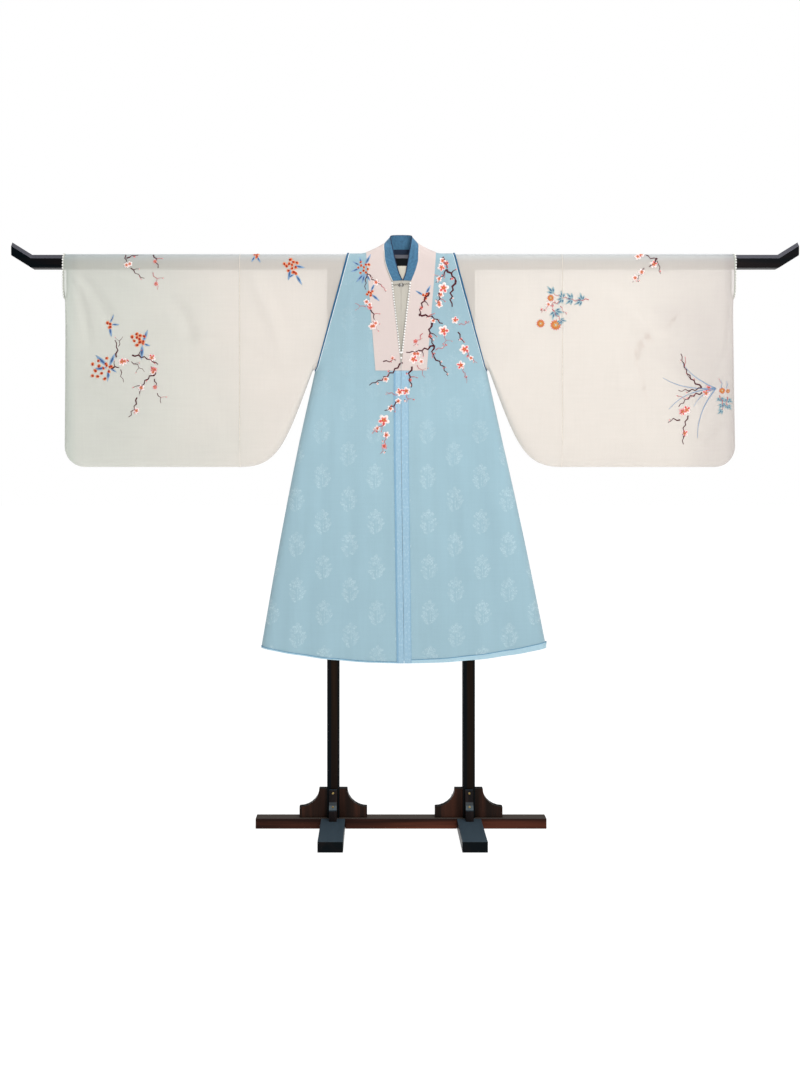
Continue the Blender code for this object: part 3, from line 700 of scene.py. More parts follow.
@dataclass(frozen=True)
class HangingForm:
    """What every layer of cloth follows: over the rod, down its front and back, closed at the sides."""

    middle: float
    spring: float = 1.579
    hang: float = 0.0202
    arch_rise: float = 0.0228
    closing: float = 0.030
    least_depth: float = 0.00015
    neck_rise: float = 0.028
    neck_rise_end: float = 0.112
    neck_rise_full: float = 0.048
    arch_steps: int = 8
    close_steps: int = 7

    @property
    def shoulder_top(self) -> float:
        """The height of the cloth's inner face over the rod."""
        return self.spring + self.arch_rise

    def lift(self, x: float) -> float:
        """How far the neck holds the cloth above the rod at this distance from the middle."""
        run = (self.neck_rise_end - abs(x)) / (self.neck_rise_end - self.neck_rise_full)
        return self.neck_rise * min(max(run, 0.0), 1.0) ** 1.5

    def closing_share(self, distance: float) -> float:
        """The share of its full depth that the cloth has at this distance from a sewn edge."""
        return math.sqrt(1 - (1 - min(max(distance, 0.0) / self.closing, 1.0)) ** 2)

    def arch_angles(self) -> list[float]:
        """Angles round the rod, from where the cloth hangs free to the top."""
        return spread(0.0, math.pi / 2, self.arch_steps)

    def levels(self, heights: Sequence[float]) -> list[Row]:
        """Rows of a body panel from its hem to the shoulder line, as nominal height and angle."""
        rows = [(z, 0.0) for z in heights]
        return rows + [(self.spring + self.arch_rise * math.sin(a), a) for a in self.arch_angles()[1:]]

    def side_columns(self, start: float, side: float, cells: int) -> list[float]:
        """Places from start to the beginning of the closing edge, and then round it."""
        edge = side - self.closing
        steps = range(1, self.close_steps + 1)
        round_edge = [edge + self.closing * math.sin(math.pi / 2 * s / self.close_steps) for s in steps]
        return spread(start, edge, cells) + round_edge

    def point(
        self,
        x: float,
        z: float,
        angle: float,
        offset: float,
        face: int,
        share: float = 1.0,
        stand_out: float = 0.0,
    ) -> ClothPoint:
        """A point of the layer at this offset.

        Args:
            x: Place from the stand's middle.
            z: Height, where the cloth hangs.
            angle: 0 where the cloth hangs, and up to a quarter turn at the top of the rod.
            offset: How far the layer lies outside the cloth next to the rod.
            face: -1 for the front and 1 for the back.
            share: The share of the full depth that a sewn edge leaves.
            stand_out: How far folds and creases stand out.

        Returns:
            The point and its place on the cut cloth.
        """
        depth = (self.hang + offset) * math.cos(angle) * share + stand_out * math.cos(angle)
        up = z
        if angle > 0:
            z = self.spring + (self.arch_rise + self.lift(x) + offset) * math.sin(angle)
            up = self.spring + self.arch_rise * angle
        return ClothPoint(Vector((x, face * max(depth, self.least_depth), z)), x, up)

    def settle(self, hand: int, point: ClothPoint, drift: float = 0.0) -> ClothPoint:
        """Sets a point on its own side of the stand's middle."""
        place = point.place
        moved = Vector((hand * place.x + drift + self.middle, place.y, place.z))
        return ClothPoint(moved, hand * point.across, point.up)


class Shop:
    """Turns grids of points into shells, and gives each finished piece its place in the frame."""

    sharp_angle: float = math.radians(48)

    def __init__(self) -> None:
        """Starts with no material made."""
        self.materials: dict[str, bpy.types.Material] = {}

    def dressed(self, finish: Finish) -> bpy.types.Material:
        """The material of a finish, made once."""
        if finish.name not in self.materials:
            self.materials[finish.name] = finish.dress()
        return self.materials[finish.name]

    def mesh_object(self, name: str, work: bmesh.types.BMesh, finish: Finish) -> bpy.types.Object:
        """Turns a bmesh into a smooth object with one finish."""
        data = bpy.data.meshes.new(name)
        work.to_mesh(data)
        work.free()
        data.materials.append(self.dressed(finish))
        data.shade_smooth()
        data.set_sharp_from_angle(angle=self.sharp_angle)
        piece = bpy.data.objects.new(name, data)
        bpy.context.scene.collection.objects.link(piece)
        return piece

    def copy_into(self, work: bmesh.types.BMesh, model: bpy.types.Object) -> list[bmesh.types.BMVert]:
        """Adds a copy of a model to a bmesh, and returns its new points."""
        before = len(work.verts)
        work.from_mesh(model.data)
        work.verts.ensure_lookup_table()
        return work.verts[before:]

    def line(
        self, name: str, paths: Sequence[Path], radius: float, finish: Hard, slot: str, *nodes: str
    ) -> None:
        """Sewn lines, as thin round cords that follow paths, made one piece.

        Args:
            name: The piece's name.
            paths: The points of each line.
            radius: Half a cord's thickness.
            finish: What the cord looks like.
            slot: Not used.
            *nodes: The solids that it stands for.
        """
        data = bpy.data.curves.new(name, "CURVE")
        data.dimensions = "3D"
        data.bevel_depth = radius
        data.bevel_resolution = 1
        data.use_fill_caps = True
        for path in paths:
            spline = data.splines.new("POLY")
            spline.points.add(len(path) - 1)
            for point, place in zip(spline.points, path):
                point.co = (*place, 1.0)
        data.materials.append(self.dressed(finish))
        curve = bpy.data.objects.new(name, data)
        bpy.context.scene.collection.objects.link(curve)
        bpy.ops.object.select_all(action="DESELECT")
        curve.select_set(True)
        bpy.context.view_layer.objects.active = curve
        bpy.ops.object.convert(target="MESH")
        piece = bpy.context.object
        piece.data.shade_smooth()
        self.fit(piece, slot, *nodes)

    def shell(
        self, name: str, faces: Sequence[Grid], finish: Cloth, slot: str, *nodes: str, ring: bool = False
    ) -> bpy.types.Object:
        """A closed wall between two grids of points.

        Args:
            name: The piece's name.
            faces: Rows of points of the inner face, and the same rows on the outer face.
            finish: What the cloth looks like.
            slot: Not used.
            *nodes: The solids that it stands for.
            ring: Whether each row closes on itself.

        Returns:
            The piece.
        """
        work = bmesh.new()
        layer = work.loops.layers.uv.new("cloth")
        marks: dict[bmesh.types.BMVert, Pair] = {}
        for point in (point for grid in faces for row in grid for point in row):
            marks[work.verts.new(point.place)] = (point.across, point.up)
        verts = iter(marks)
        near, far = [[[next(verts) for _ in row] for row in grid] for grid in faces]
        count = len(near[0])
        cells = [(c, (c + 1) % count) for c in range(count if ring else count - 1)]
        for r in range(len(near) - 1):
            for c, n in cells:
                work.faces.new((far[r][c], far[r][n], far[r + 1][n], far[r + 1][c]))
                work.faces.new((near[r][n], near[r][c], near[r + 1][c], near[r + 1][n]))
        for row, turned in ((0, False), (-1, True)):
            for c, n in cells:
                corners = [near[row][c], near[row][n], far[row][n], far[row][c]]
                work.faces.new(reversed(corners) if turned else corners)
        if not ring:
            for column, turned in ((0, True), (-1, False)):
                for r in range(len(near) - 1):
                    corners = [near[r][column], near[r + 1][column], far[r + 1][column], far[r][column]]
                    work.faces.new(corners if turned else reversed(corners))
        for face in work.faces:
            for loop in face.loops:
                loop[layer].uv = marks[loop.vert]
        bmesh.ops.recalc_face_normals(work, faces=work.faces)
        piece = self.mesh_object(name, work, finish)
        self.fit(piece, slot, *nodes)
        return piece

    def fit(self, piece: bpy.types.Object, slot: str | None, *nodes: str) -> None:
        """Sets a piece on the stand's body in place of its solids."""
        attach(piece, "root")
        if nodes:
            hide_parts(*nodes)
        LOG.info("%s: %d faces", piece.name, len(piece.data.polygons))


HANDS = ((-1, "left"), (1, "right"))


@dataclass
class OverVest:
    """The long sleeveless vest with its bands, strips, piping and hem."""

    form: HangingForm
    shop: Shop
    shoulder_half: float = 0.150
    underarm_half: float = 0.2374
    hem_half: float = 0.3958
    side_bow: float = 0.005
    underarm: float = 1.275
    hem_centre: float = 0.461
    hem_side: float = 0.503
    hem_drift: float = 0.0084
    drift_top: float = 1.080
    fold_top: float = 1.19
    crease_edge: float = 0.04
    strip_width: float = 0.0207
    strip_share: float = 0.30
    band_top_half: float = 0.0975
    band_bottom_half: float = 0.0714
    guide_hem_half: float = 0.150
    back_band_bottom: float = 1.5225
    neck_side: float = 0.0490
    back_neck_angle: float = math.radians(25)
    wall: Pair = (0.0019, 0.0029)
    band_wall: Pair = (0.0031, 0.0040)
    piping_wall: Pair = (0.0031, 0.0050)
    piping_widths: Pair = (0.0028, 0.0052)
    piping_full: float = 0.22
    piping_step: float = 0.0004
    piping_line: float = 0.0010
    piping_cells: int = 6
    hem_wall: Pair = (0.0031, 0.0037)
    hem_widths: tuple[Spot, Spot] = ((0.0035, 0.0045), (0.0090, 0.0170))
    hem_cells: int = 4
    band_step: float = 0.0012
    strip_gap: float = 0.0005
    strip_cells: int = 3
    neck_cells: int = 8
    band_cells: int = 5
    front_side_cells: int = 16
    back_side_cells: int = 12
    row_step: float = 0.012
    neckline: tuple[Spot, ...] = (
        (1.275, 0.0004),
        (1.318, 0.0038),
        (1.5225, 0.0272),
        (1.5525, 0.0396),
        (1.579, 0.0470),
        (1.6018, 0.0490),
    )
    folds: tuple[Triple, ...] = (
        (0.30, 0.13, 0.005),
        (0.56, 0.14, 0.008),
        (0.80, 0.11, 0.006),
    )
    front_creases: tuple[Crease, ...] = (
        Crease((-0.050, 1.150), (-0.085, 0.780), 0.020, 0.0022, 0.006),
        Crease((-0.150, 1.240), (-0.205, 0.860), 0.024, 0.0026, -0.008),
        Crease((-0.110, 0.900), (-0.150, 0.560), 0.022, 0.0020, 0.004),
        Crease((-0.235, 0.980), (-0.290, 0.640), 0.020, 0.0024, 0.005),
        Crease((-0.215, 1.262), (-0.120, 1.205), 0.016, 0.0020, 0.004),
        Crease((0.060, 1.180), (0.072, 0.820), 0.018, 0.0018, -0.004),
        Crease((0.130, 1.120), (0.188, 0.700), 0.026, 0.0028, 0.006),
        Crease((0.205, 1.190), (0.262, 0.840), 0.020, 0.0022, -0.006),
        Crease((0.095, 0.800), (0.110, 0.520), 0.020, 0.0020, 0.003),
        Crease((0.270, 0.860), (0.330, 0.570), 0.018, 0.0022, 0.004),
        Crease((0.212, 1.258), (0.132, 1.196), 0.015, 0.0022, -0.004),
        Crease((-0.125, 1.560), (-0.150, 1.420), 0.014, 0.0010, 0.0),
        Crease((0.126, 1.555), (0.158, 1.390), 0.014, 0.0011, 0.0),
    )
    back_creases: tuple[Crease, ...] = (
        Crease((-0.020, 1.500), (-0.045, 0.900), 0.030, 0.0030, 0.008),
        Crease((0.055, 1.300), (0.080, 0.620), 0.026, 0.0028, -0.006),
        Crease((-0.140, 1.240), (-0.215, 0.700), 0.028, 0.0032, 0.007),
        Crease((0.150, 1.180), (0.235, 0.650), 0.024, 0.0028, 0.005),
        Crease((-0.070, 0.900), (-0.090, 0.530), 0.022, 0.0024, -0.004),
        Crease((0.262, 0.900), (0.322, 0.560), 0.020, 0.0024, 0.004),
        Crease((-0.262, 0.960), (-0.318, 0.590), 0.020, 0.0026, -0.005),
        Crease((-0.205, 1.260), (-0.110, 1.190), 0.016, 0.0022, 0.004),
        Crease((0.210, 1.256), (0.120, 1.186), 0.016, 0.0020, -0.004),
    )
    blue: Cloth = Cloth(
        "vest blue brocade",
        srgb(158, 190, 202),
        srgb(206, 226, 231),
        Figure.SPRIG,
        roughness=0.58,
        sheen=0.35,
        blotch=0.04,
        slub=0.05,
    )
    strip_blue: Cloth = Cloth(
        "strip blue", srgb(150, 187, 209), srgb(175, 206, 222), Figure.STRIPE, roughness=0.55, sheen=0.3
    )
    band_cream: Cloth = Cloth("band cream", srgb(217, 202, 197), roughness=0.62, sheen=0.25, slub=0.03)
    navy: Cloth = Cloth("piping blue", srgb(35, 94, 131), roughness=0.5, sheen=0.3, thread=0.0012)

    def half_width(self, z: float) -> float:
        """From the middle to the armhole, or below the underarm to the side seam."""
        if z > self.underarm:
            up = (z - self.underarm) / (self.form.shoulder_top - self.underarm)
            return blend(self.underarm_half, self.shoulder_half, up)
        down = (self.underarm - z) / (self.underarm - self.hem_side)
        bow = self.side_bow * math.sin(math.pi * down)
        return blend(self.underarm_half, self.hem_half, down) + bow

    def guide_half_width(self, z: float) -> float:
        """The outer edge of the front band, and the line that carries on from it to the hem."""
        if z > self.underarm:
            up = (z - self.underarm) / (self.form.shoulder_top - self.underarm)
            return blend(self.band_bottom_half, self.band_top_half, up)
        down = (self.underarm - z) / (self.underarm - self.hem_centre)
        return blend(self.band_bottom_half, self.guide_hem_half, down)

    def fade(self, level: float) -> float:
        """0 at the underarm and above, 1 at the hem."""
        return max(self.underarm - level, 0.0) / (self.underarm - self.hem_centre)

    def row_side(self, level: float) -> float:
        """The half width where a row of points meets the side."""
        return self.half_width(level + (self.hem_side - self.hem_centre) * self.fade(level))

    def fold_height(self, x: float, z: float) -> float:
        """How far the soft folds of the skirt stand out."""
        fade = max(self.fold_top - z, 0.0) / (self.fold_top - self.hem_centre)
        across = abs(x) / self.half_width(z)
        height = 0.0
        for place, reach, rise in self.folds:
            height += rise * bump(abs(across - place) / reach)
        return height * fade**1.5

    def drift(self, level: float) -> float:
        """How far the skirt hangs to the right."""
        return self.hem_drift * max(self.drift_top - level, 0.0) / (self.drift_top - self.hem_centre)

    def stand_out(self, hand: int, x: float, z: float, face: int) -> float:
        """Folds and creases together, smaller towards a sewn edge."""
        creases = self.front_creases if face < 0 else self.back_creases
        side = min(max(self.half_width(z) - x, 0.0) / self.crease_edge, 1.0)
        return self.fold_height(x, z) + crease_height(creases, hand * x, z) * side

    def point(self, hand: int, x: float, row: Row, offset: float, face: int) -> ClothPoint:
        """A point of a layer on the vest.

        Args:
            hand: -1 for the left half and 1 for the right.
            x: Place from the middle, always positive.
            row: The row's nominal height and its angle round the rod.
            offset: The layer.
            face: -1 for the front and 1 for the back.

        Returns:
            The point, on its own side.
        """
        level, angle = row
        side = self.row_side(level)
        z = level + (self.hem_side - self.hem_centre) * self.fade(level) * (x / side) ** 2
        edge = side + (offset if level <= self.underarm else 0.0)
        out = x + (edge - side) * (x / side) ** 4
        away = math.hypot(edge - out, max(z - self.underarm, 0.0))
        raised = self.stand_out(hand, x, z, face)
        point = self.form.point(out, z, angle, offset, face, self.form.closing_share(away), raised)
        return self.form.settle(hand, point, self.drift(z))

    def rows(self) -> list[Row]:
        """All rows from the hem to the shoulder line."""
        stops = (self.hem_centre, self.underarm, self.back_band_bottom, self.form.spring)
        return self.form.levels(refine(stops, self.row_step))

    def inner_edge(self, level: float) -> float:
        """Half the width of the front opening and neck."""
        return read_table(self.neckline, level)

    def strip_edge(self, level: float) -> float:
        """The outer edge of the centre strip, and the line that carries on from it."""
        if level <= self.underarm:
            return self.strip_width
        return blend(self.inner_edge(level), self.guide_half_width(level), self.strip_share)

    def front_columns(self, level: float) -> list[float]:
        """Places across one half of the front, from its opening over the band's width to the side."""
        inner = self.inner_edge(level)
        strip = self.strip_edge(level)
        guide = self.guide_half_width(level)
        places = spread(inner, strip, self.strip_cells) + spread(strip, guide, self.band_cells)[1:]
        return places + self.form.side_columns(guide, self.row_side(level), self.front_side_cells)[1:]

    def front_grid(self, hand: int, offset: float, rows: Sequence[Row], last: int | None = None) -> Grid:
        """Rows of points over one half of the front, or over its first columns."""
        grid = []
        for row in rows:
            grid.append([self.point(hand, x, row, offset, -1) for x in self.front_columns(row[0])[:last]])
        return grid

    def back_half(self, level: float, side: float, band_cells: int, side_cells: int) -> list[float]:
        """Places across one half of a back, over the neck's and the band's width to the side."""
        down = (self.form.shoulder_top - level) / (self.form.shoulder_top - self.hem_centre)
        neck = self.neck_side * blend(1.0, self.hem_half / self.shoulder_half, down)
        guide = blend(self.band_top_half, self.band_top_half * 2, down)
        inside = [neck * math.sin(math.pi / 2 * step / self.neck_cells) for step in range(self.neck_cells)]
        places = inside + spread(neck, guide, band_cells)
        return places + self.form.side_columns(guide, side, side_cells)[1:]

    def back_angle(self, x: float, angle: float) -> float:
        """The angle of a back row, brought down under the neck opening."""
        inside = math.sqrt(max(1 - (x / self.neck_side) ** 2, 0.0))
        return angle * blend(1.0, self.back_neck_angle / (math.pi / 2), inside)

    def back_grid(self, offset: float, rows: Sequence[Row], last: int | None = None) -> Grid:
        """Rows of points over the back, from its left side to its right, or over the middle of it."""
        grid = []
        cells = (self.band_cells, self.back_side_cells)
        for level, angle in rows:
            half = self.back_half(level, self.row_side(level), *cells)[:last]
            spots = [(-1, x) for x in reversed(half[1:])] + [(1, x) for x in half]
            places = [(hand, x, (level, self.back_angle(x, angle))) for hand, x in spots]
            grid.append([self.point(*place, offset, 1) for place in places])
        return grid

    def build_panels(self) -> None:
        """Two fronts and a back."""
        rows = self.rows()
        for hand, word in HANDS:
            faces = [self.front_grid(hand, offset, rows) for offset in self.wall]
            name = f"vest_front_{word}"
            piece = self.shop.shell(f"{name}_cloth", faces, self.blue, "vest_blue", name)
        faces = [self.back_grid(offset, rows) for offset in self.wall]
        piece = self.shop.shell("vest_back_cloth", faces, self.blue, "vest_blue", "vest_back")

    def build_bands(self) -> None:
        """The pale bands on the chest and round the back of the neck, and the strips down the front."""
        rows = self.rows()
        high = [row for row in rows if row[0] >= self.underarm]
        low = [row for row in rows if row[0] < self.underarm] + [(self.underarm - self.strip_gap, 0.0)]
        strip_columns = self.strip_cells + 1
        band_columns = strip_columns + self.band_cells
        for hand, word in HANDS:
            faces = [self.front_grid(hand, offset, high, band_columns) for offset in self.band_wall]
            name = f"band_front_{word}"
            piece = self.shop.shell(f"{name}_cloth", faces, self.band_cream, "band_cream", name)
            faces = [self.front_grid(hand, offset, low, strip_columns) for offset in self.band_wall]
            name = f"centre_strip_{word}"
            piece = self.shop.shell(f"{name}_cloth", faces, self.strip_blue, "strip_blue", name)
        back = [row for row in rows if row[0] >= self.back_band_bottom]
        columns = self.neck_cells + self.band_cells
        faces = [self.back_grid(offset, back, columns) for offset in self.band_wall]
        piece = self.shop.shell("band_back_cloth", faces, self.band_cream, "band_cream", "band_back")

    def ground(self, x: float, up: float, lift: float) -> Vector:
        """A point just off the outer cloth of the front.

        Args:
            x: Place from the middle, negative to the left.
            up: Height on the cut cloth.
            lift: How far above the cloth.

        Returns:
            The point in the frame.
        """
        hand = 1 if x >= 0 else -1
        angle = max(up - self.form.spring, 0.0) / self.form.arch_rise
        level = up if angle == 0 else self.form.spring + self.form.arch_rise * math.sin(angle)
        edge = self.guide_half_width(level) if level > self.underarm else self.strip_width
        on_band = 1 - ease((abs(x) - edge) / self.band_step + 0.5)
        offset = blend(self.wall[1], self.band_wall[1], on_band) + lift
        side = self.row_side(level)
        away = math.hypot(side - abs(x), max(level - self.underarm, 0.0))
        raised = self.stand_out(hand, abs(x), level, -1)
        share = self.form.closing_share(away)
        point = self.form.point(abs(x), level, angle, offset, -1, share, raised)
        return self.form.settle(hand, point, self.drift(level)).place

    def build_hem(self) -> None:
        """The turned-up hem, broad at the right corner and narrow elsewhere, with a darker line along its
        top edge.
        """
        cloth = Cloth("hem blue", srgb(176, 209, 223), roughness=0.6, sheen=0.3)
        cord = Hard("hem line", srgb(88, 144, 182), srgb(110, 160, 190), 0.75, coat=0.0)
        for (hand, word), (at_middle, at_side) in zip(HANDS, self.hem_widths):
            base = self.front_columns(self.hem_centre)[self.strip_cells : -1]
            widths = [blend(at_middle, at_side, x / self.hem_half) for x in base]
            faces = []
            for offset in self.hem_wall:
                grid = []
                for share in spread(0.0, 1.0, self.hem_cells):
                    rows = [(self.hem_centre + width * share, 0.0) for width in widths]
                    grid.append([self.point(hand, x, row, offset, -1) for x, row in zip(base, rows)])
                faces.append(grid)
            self.shop.shell(f"hem_facing_{word}", faces, cloth, "strip_blue")
            # A darker line along the top edge of the hem.
            seam = [point.place for point in faces[1][-1]]
            self.shop.line(f"hem_line_{word}", [seam], 0.0008, cord, "strip_blue")

    def piping_width(self, level: float) -> float:
        """How much of the piping shows from the front, less towards the underarm."""
        narrow, wide = self.piping_widths
        return min(blend(narrow, wide, (level - self.underarm) / self.piping_full), wide)

    def build_piping(self) -> None:
        """The dark rounded edging of the armholes, from the underarm over the shoulder and back."""
        rows = [row for row in self.rows() if row[0] >= self.underarm]
        path = [(row, -1) for row in rows] + [(row, 1) for row in reversed(rows[:-1])]
        cord = Hard("piping line", srgb(236, 242, 243), srgb(214, 228, 233), 0.7, coat=0.0)
        for hand, word in HANDS:
            faces: list[Grid] = [[], []]
            beside = []
            for row, face in path:
                side = self.row_side(row[0])
                width = self.piping_width(row[0])
                for grid in faces:
                    grid.append([])
                for share in spread(0.0, 1.0, self.piping_cells):
                    x = side - width * (1 - share) ** 2
                    swell = math.sin(math.pi * (0.08 + 0.84 * share))
                    raised = blend(self.piping_wall[0] + self.piping_step, self.piping_wall[1], swell)
                    for grid, offset in zip(faces, (self.piping_wall[0], raised)):
                        grid[-1].append(self.point(hand, x, row, offset, face))
                line_x = side - width - self.piping_line
                beside.append(self.point(hand, line_x, row, self.wall[1], face).place)
            name = f"armhole_piping_{word}"
            self.shop.shell(f"{name}_cloth", faces, self.navy, "piping_blue", name)
            self.shop.line(f"piping_line_{word}", [beside], 0.0009, cord, "piping_blue")

    def build(self) -> None:
        """All of the vest."""
        self.build_panels()
        self.build_bands()
        self.build_hem()
        self.build_piping()


@dataclass
class Blouse:
    """The body of the blouse: two fronts that meet down the middle, and a back."""

    form: HangingForm
    shop: Shop
    vest: OverVest
    hem: float = 0.950
    seam_row: float = 1.293
    flare: float = 0.16
    sleeve_top: float = 0.135
    sleeve_bottom: Spot = (0.231, 1.284)
    wall: Pair = (0.0001, 0.0012)
    row_step: float = 0.02
    gap: float = 0.0003
    front_cells: tuple[int, int] = (8, 6)
    back_cells: tuple[int, int] = (4, 4)
    neckline: tuple[Spot, ...] = (
        (1.5245, 0.0003),
        (1.5525, 0.0240),
        (1.579, 0.0340),
        (1.5951, 0.0430),
        (1.6018, 0.0490),
    )
    inner_creases: tuple[Crease, ...] = (
        Crease((0.012, 1.520), (-0.020, 1.468), 0.007, -0.0014, 0.002),
        Crease((0.010, 1.500), (0.004, 1.360), 0.008, -0.0010, -0.002),
    )
    # The blouse's cream, painted darker as shade because it lies inside the vest.
    cloth: Cloth = Cloth("blouse body cloth", srgb(194, 189, 178), roughness=0.7, sheen=0.2, blotch=0.04)

    @property
    def underarm(self) -> float:
        """Where the side seam starts below the sleeve."""
        return self.sleeve_bottom[1] - 0.0018

    def half_width(self, z: float) -> float:
        """From the middle to the sleeve seam, or below the underarm to the side seam."""
        bottom_x, bottom_z = self.sleeve_bottom
        if z > self.underarm:
            up = (z - bottom_z) / (self.form.shoulder_top - bottom_z)
            return blend(bottom_x, self.sleeve_top, up) - self.gap
        return bottom_x - 0.001 + (self.underarm - z) * self.flare

    def point(self, hand: int, x: float, row: Row, offset: float, face: int) -> ClothPoint:
        """A point of a layer on the blouse's body, on its own side."""
        level, angle = row
        side = self.half_width(level + offset * math.sin(angle))
        edge = side + (offset if level <= self.underarm else 0.0)
        out = x + (edge - side) * (x / side) ** 4
        away = math.hypot(edge - out, max(level - self.underarm, 0.0))
        raised = crease_height(self.inner_creases, hand * x, level) if face < 0 else 0.0
        if face > 0:
            angle = self.vest.back_angle(x, angle)
        point = self.form.point(out, level, angle, offset, face, self.form.closing_share(away), raised)
        return self.form.settle(hand, point)

    def columns(self, level: float, side: float, face: int) -> list[float]:
        """Places across one half, from the middle or the opening over the vest's band to the side."""
        if face > 0:
            return self.vest.back_half(level, side, *self.back_cells)
        band_cells, side_cells = self.front_cells
        guide = self.vest.guide_half_width(level)
        places = spread(read_table(self.neckline, level), guide, band_cells)
        return places + self.form.side_columns(guide, side, side_cells)[1:]

    def grid(self, hands: Sequence[int], offset: float, face: int) -> Grid:
        """Rows of points over one front, or over the whole back.

        Args:
            hands: Its sides, -1 for the left and 1 for the right.
            offset: The layer.
            face: -1 for the front and 1 for the back.

        Returns:
            The rows, from the hem to the shoulder line.
        """
        rows = []
        stops = (self.hem, self.underarm, self.seam_row, self.neckline[0][0], self.form.spring)
        for row in self.form.levels(refine(stops, self.row_step)):
            places = self.columns(row[0], self.half_width(row[0] + offset * math.sin(row[1])), face)
            line: list[ClothPoint] = []
            for hand in hands:
                turned = places[:0:-1] if face > 0 > hand else places
                line += [self.point(hand, x, row, offset, face) for x in turned]
            rows.append(line)
        return rows

    def build(self) -> None:
        """Both fronts and the back."""
        for hand, word in HANDS:
            faces = [self.grid((hand,), offset, -1) for offset in self.wall]
            name = f"blouse_front_{word}"
            piece = self.shop.shell(f"{name}_cloth", faces, self.cloth, "cream_cloth", name)
        faces = [self.grid((-1, 1), offset, 1) for offset in self.wall]
        piece = self.shop.shell("blouse_back_cloth", faces, self.cloth, "cream_cloth", "blouse_back")


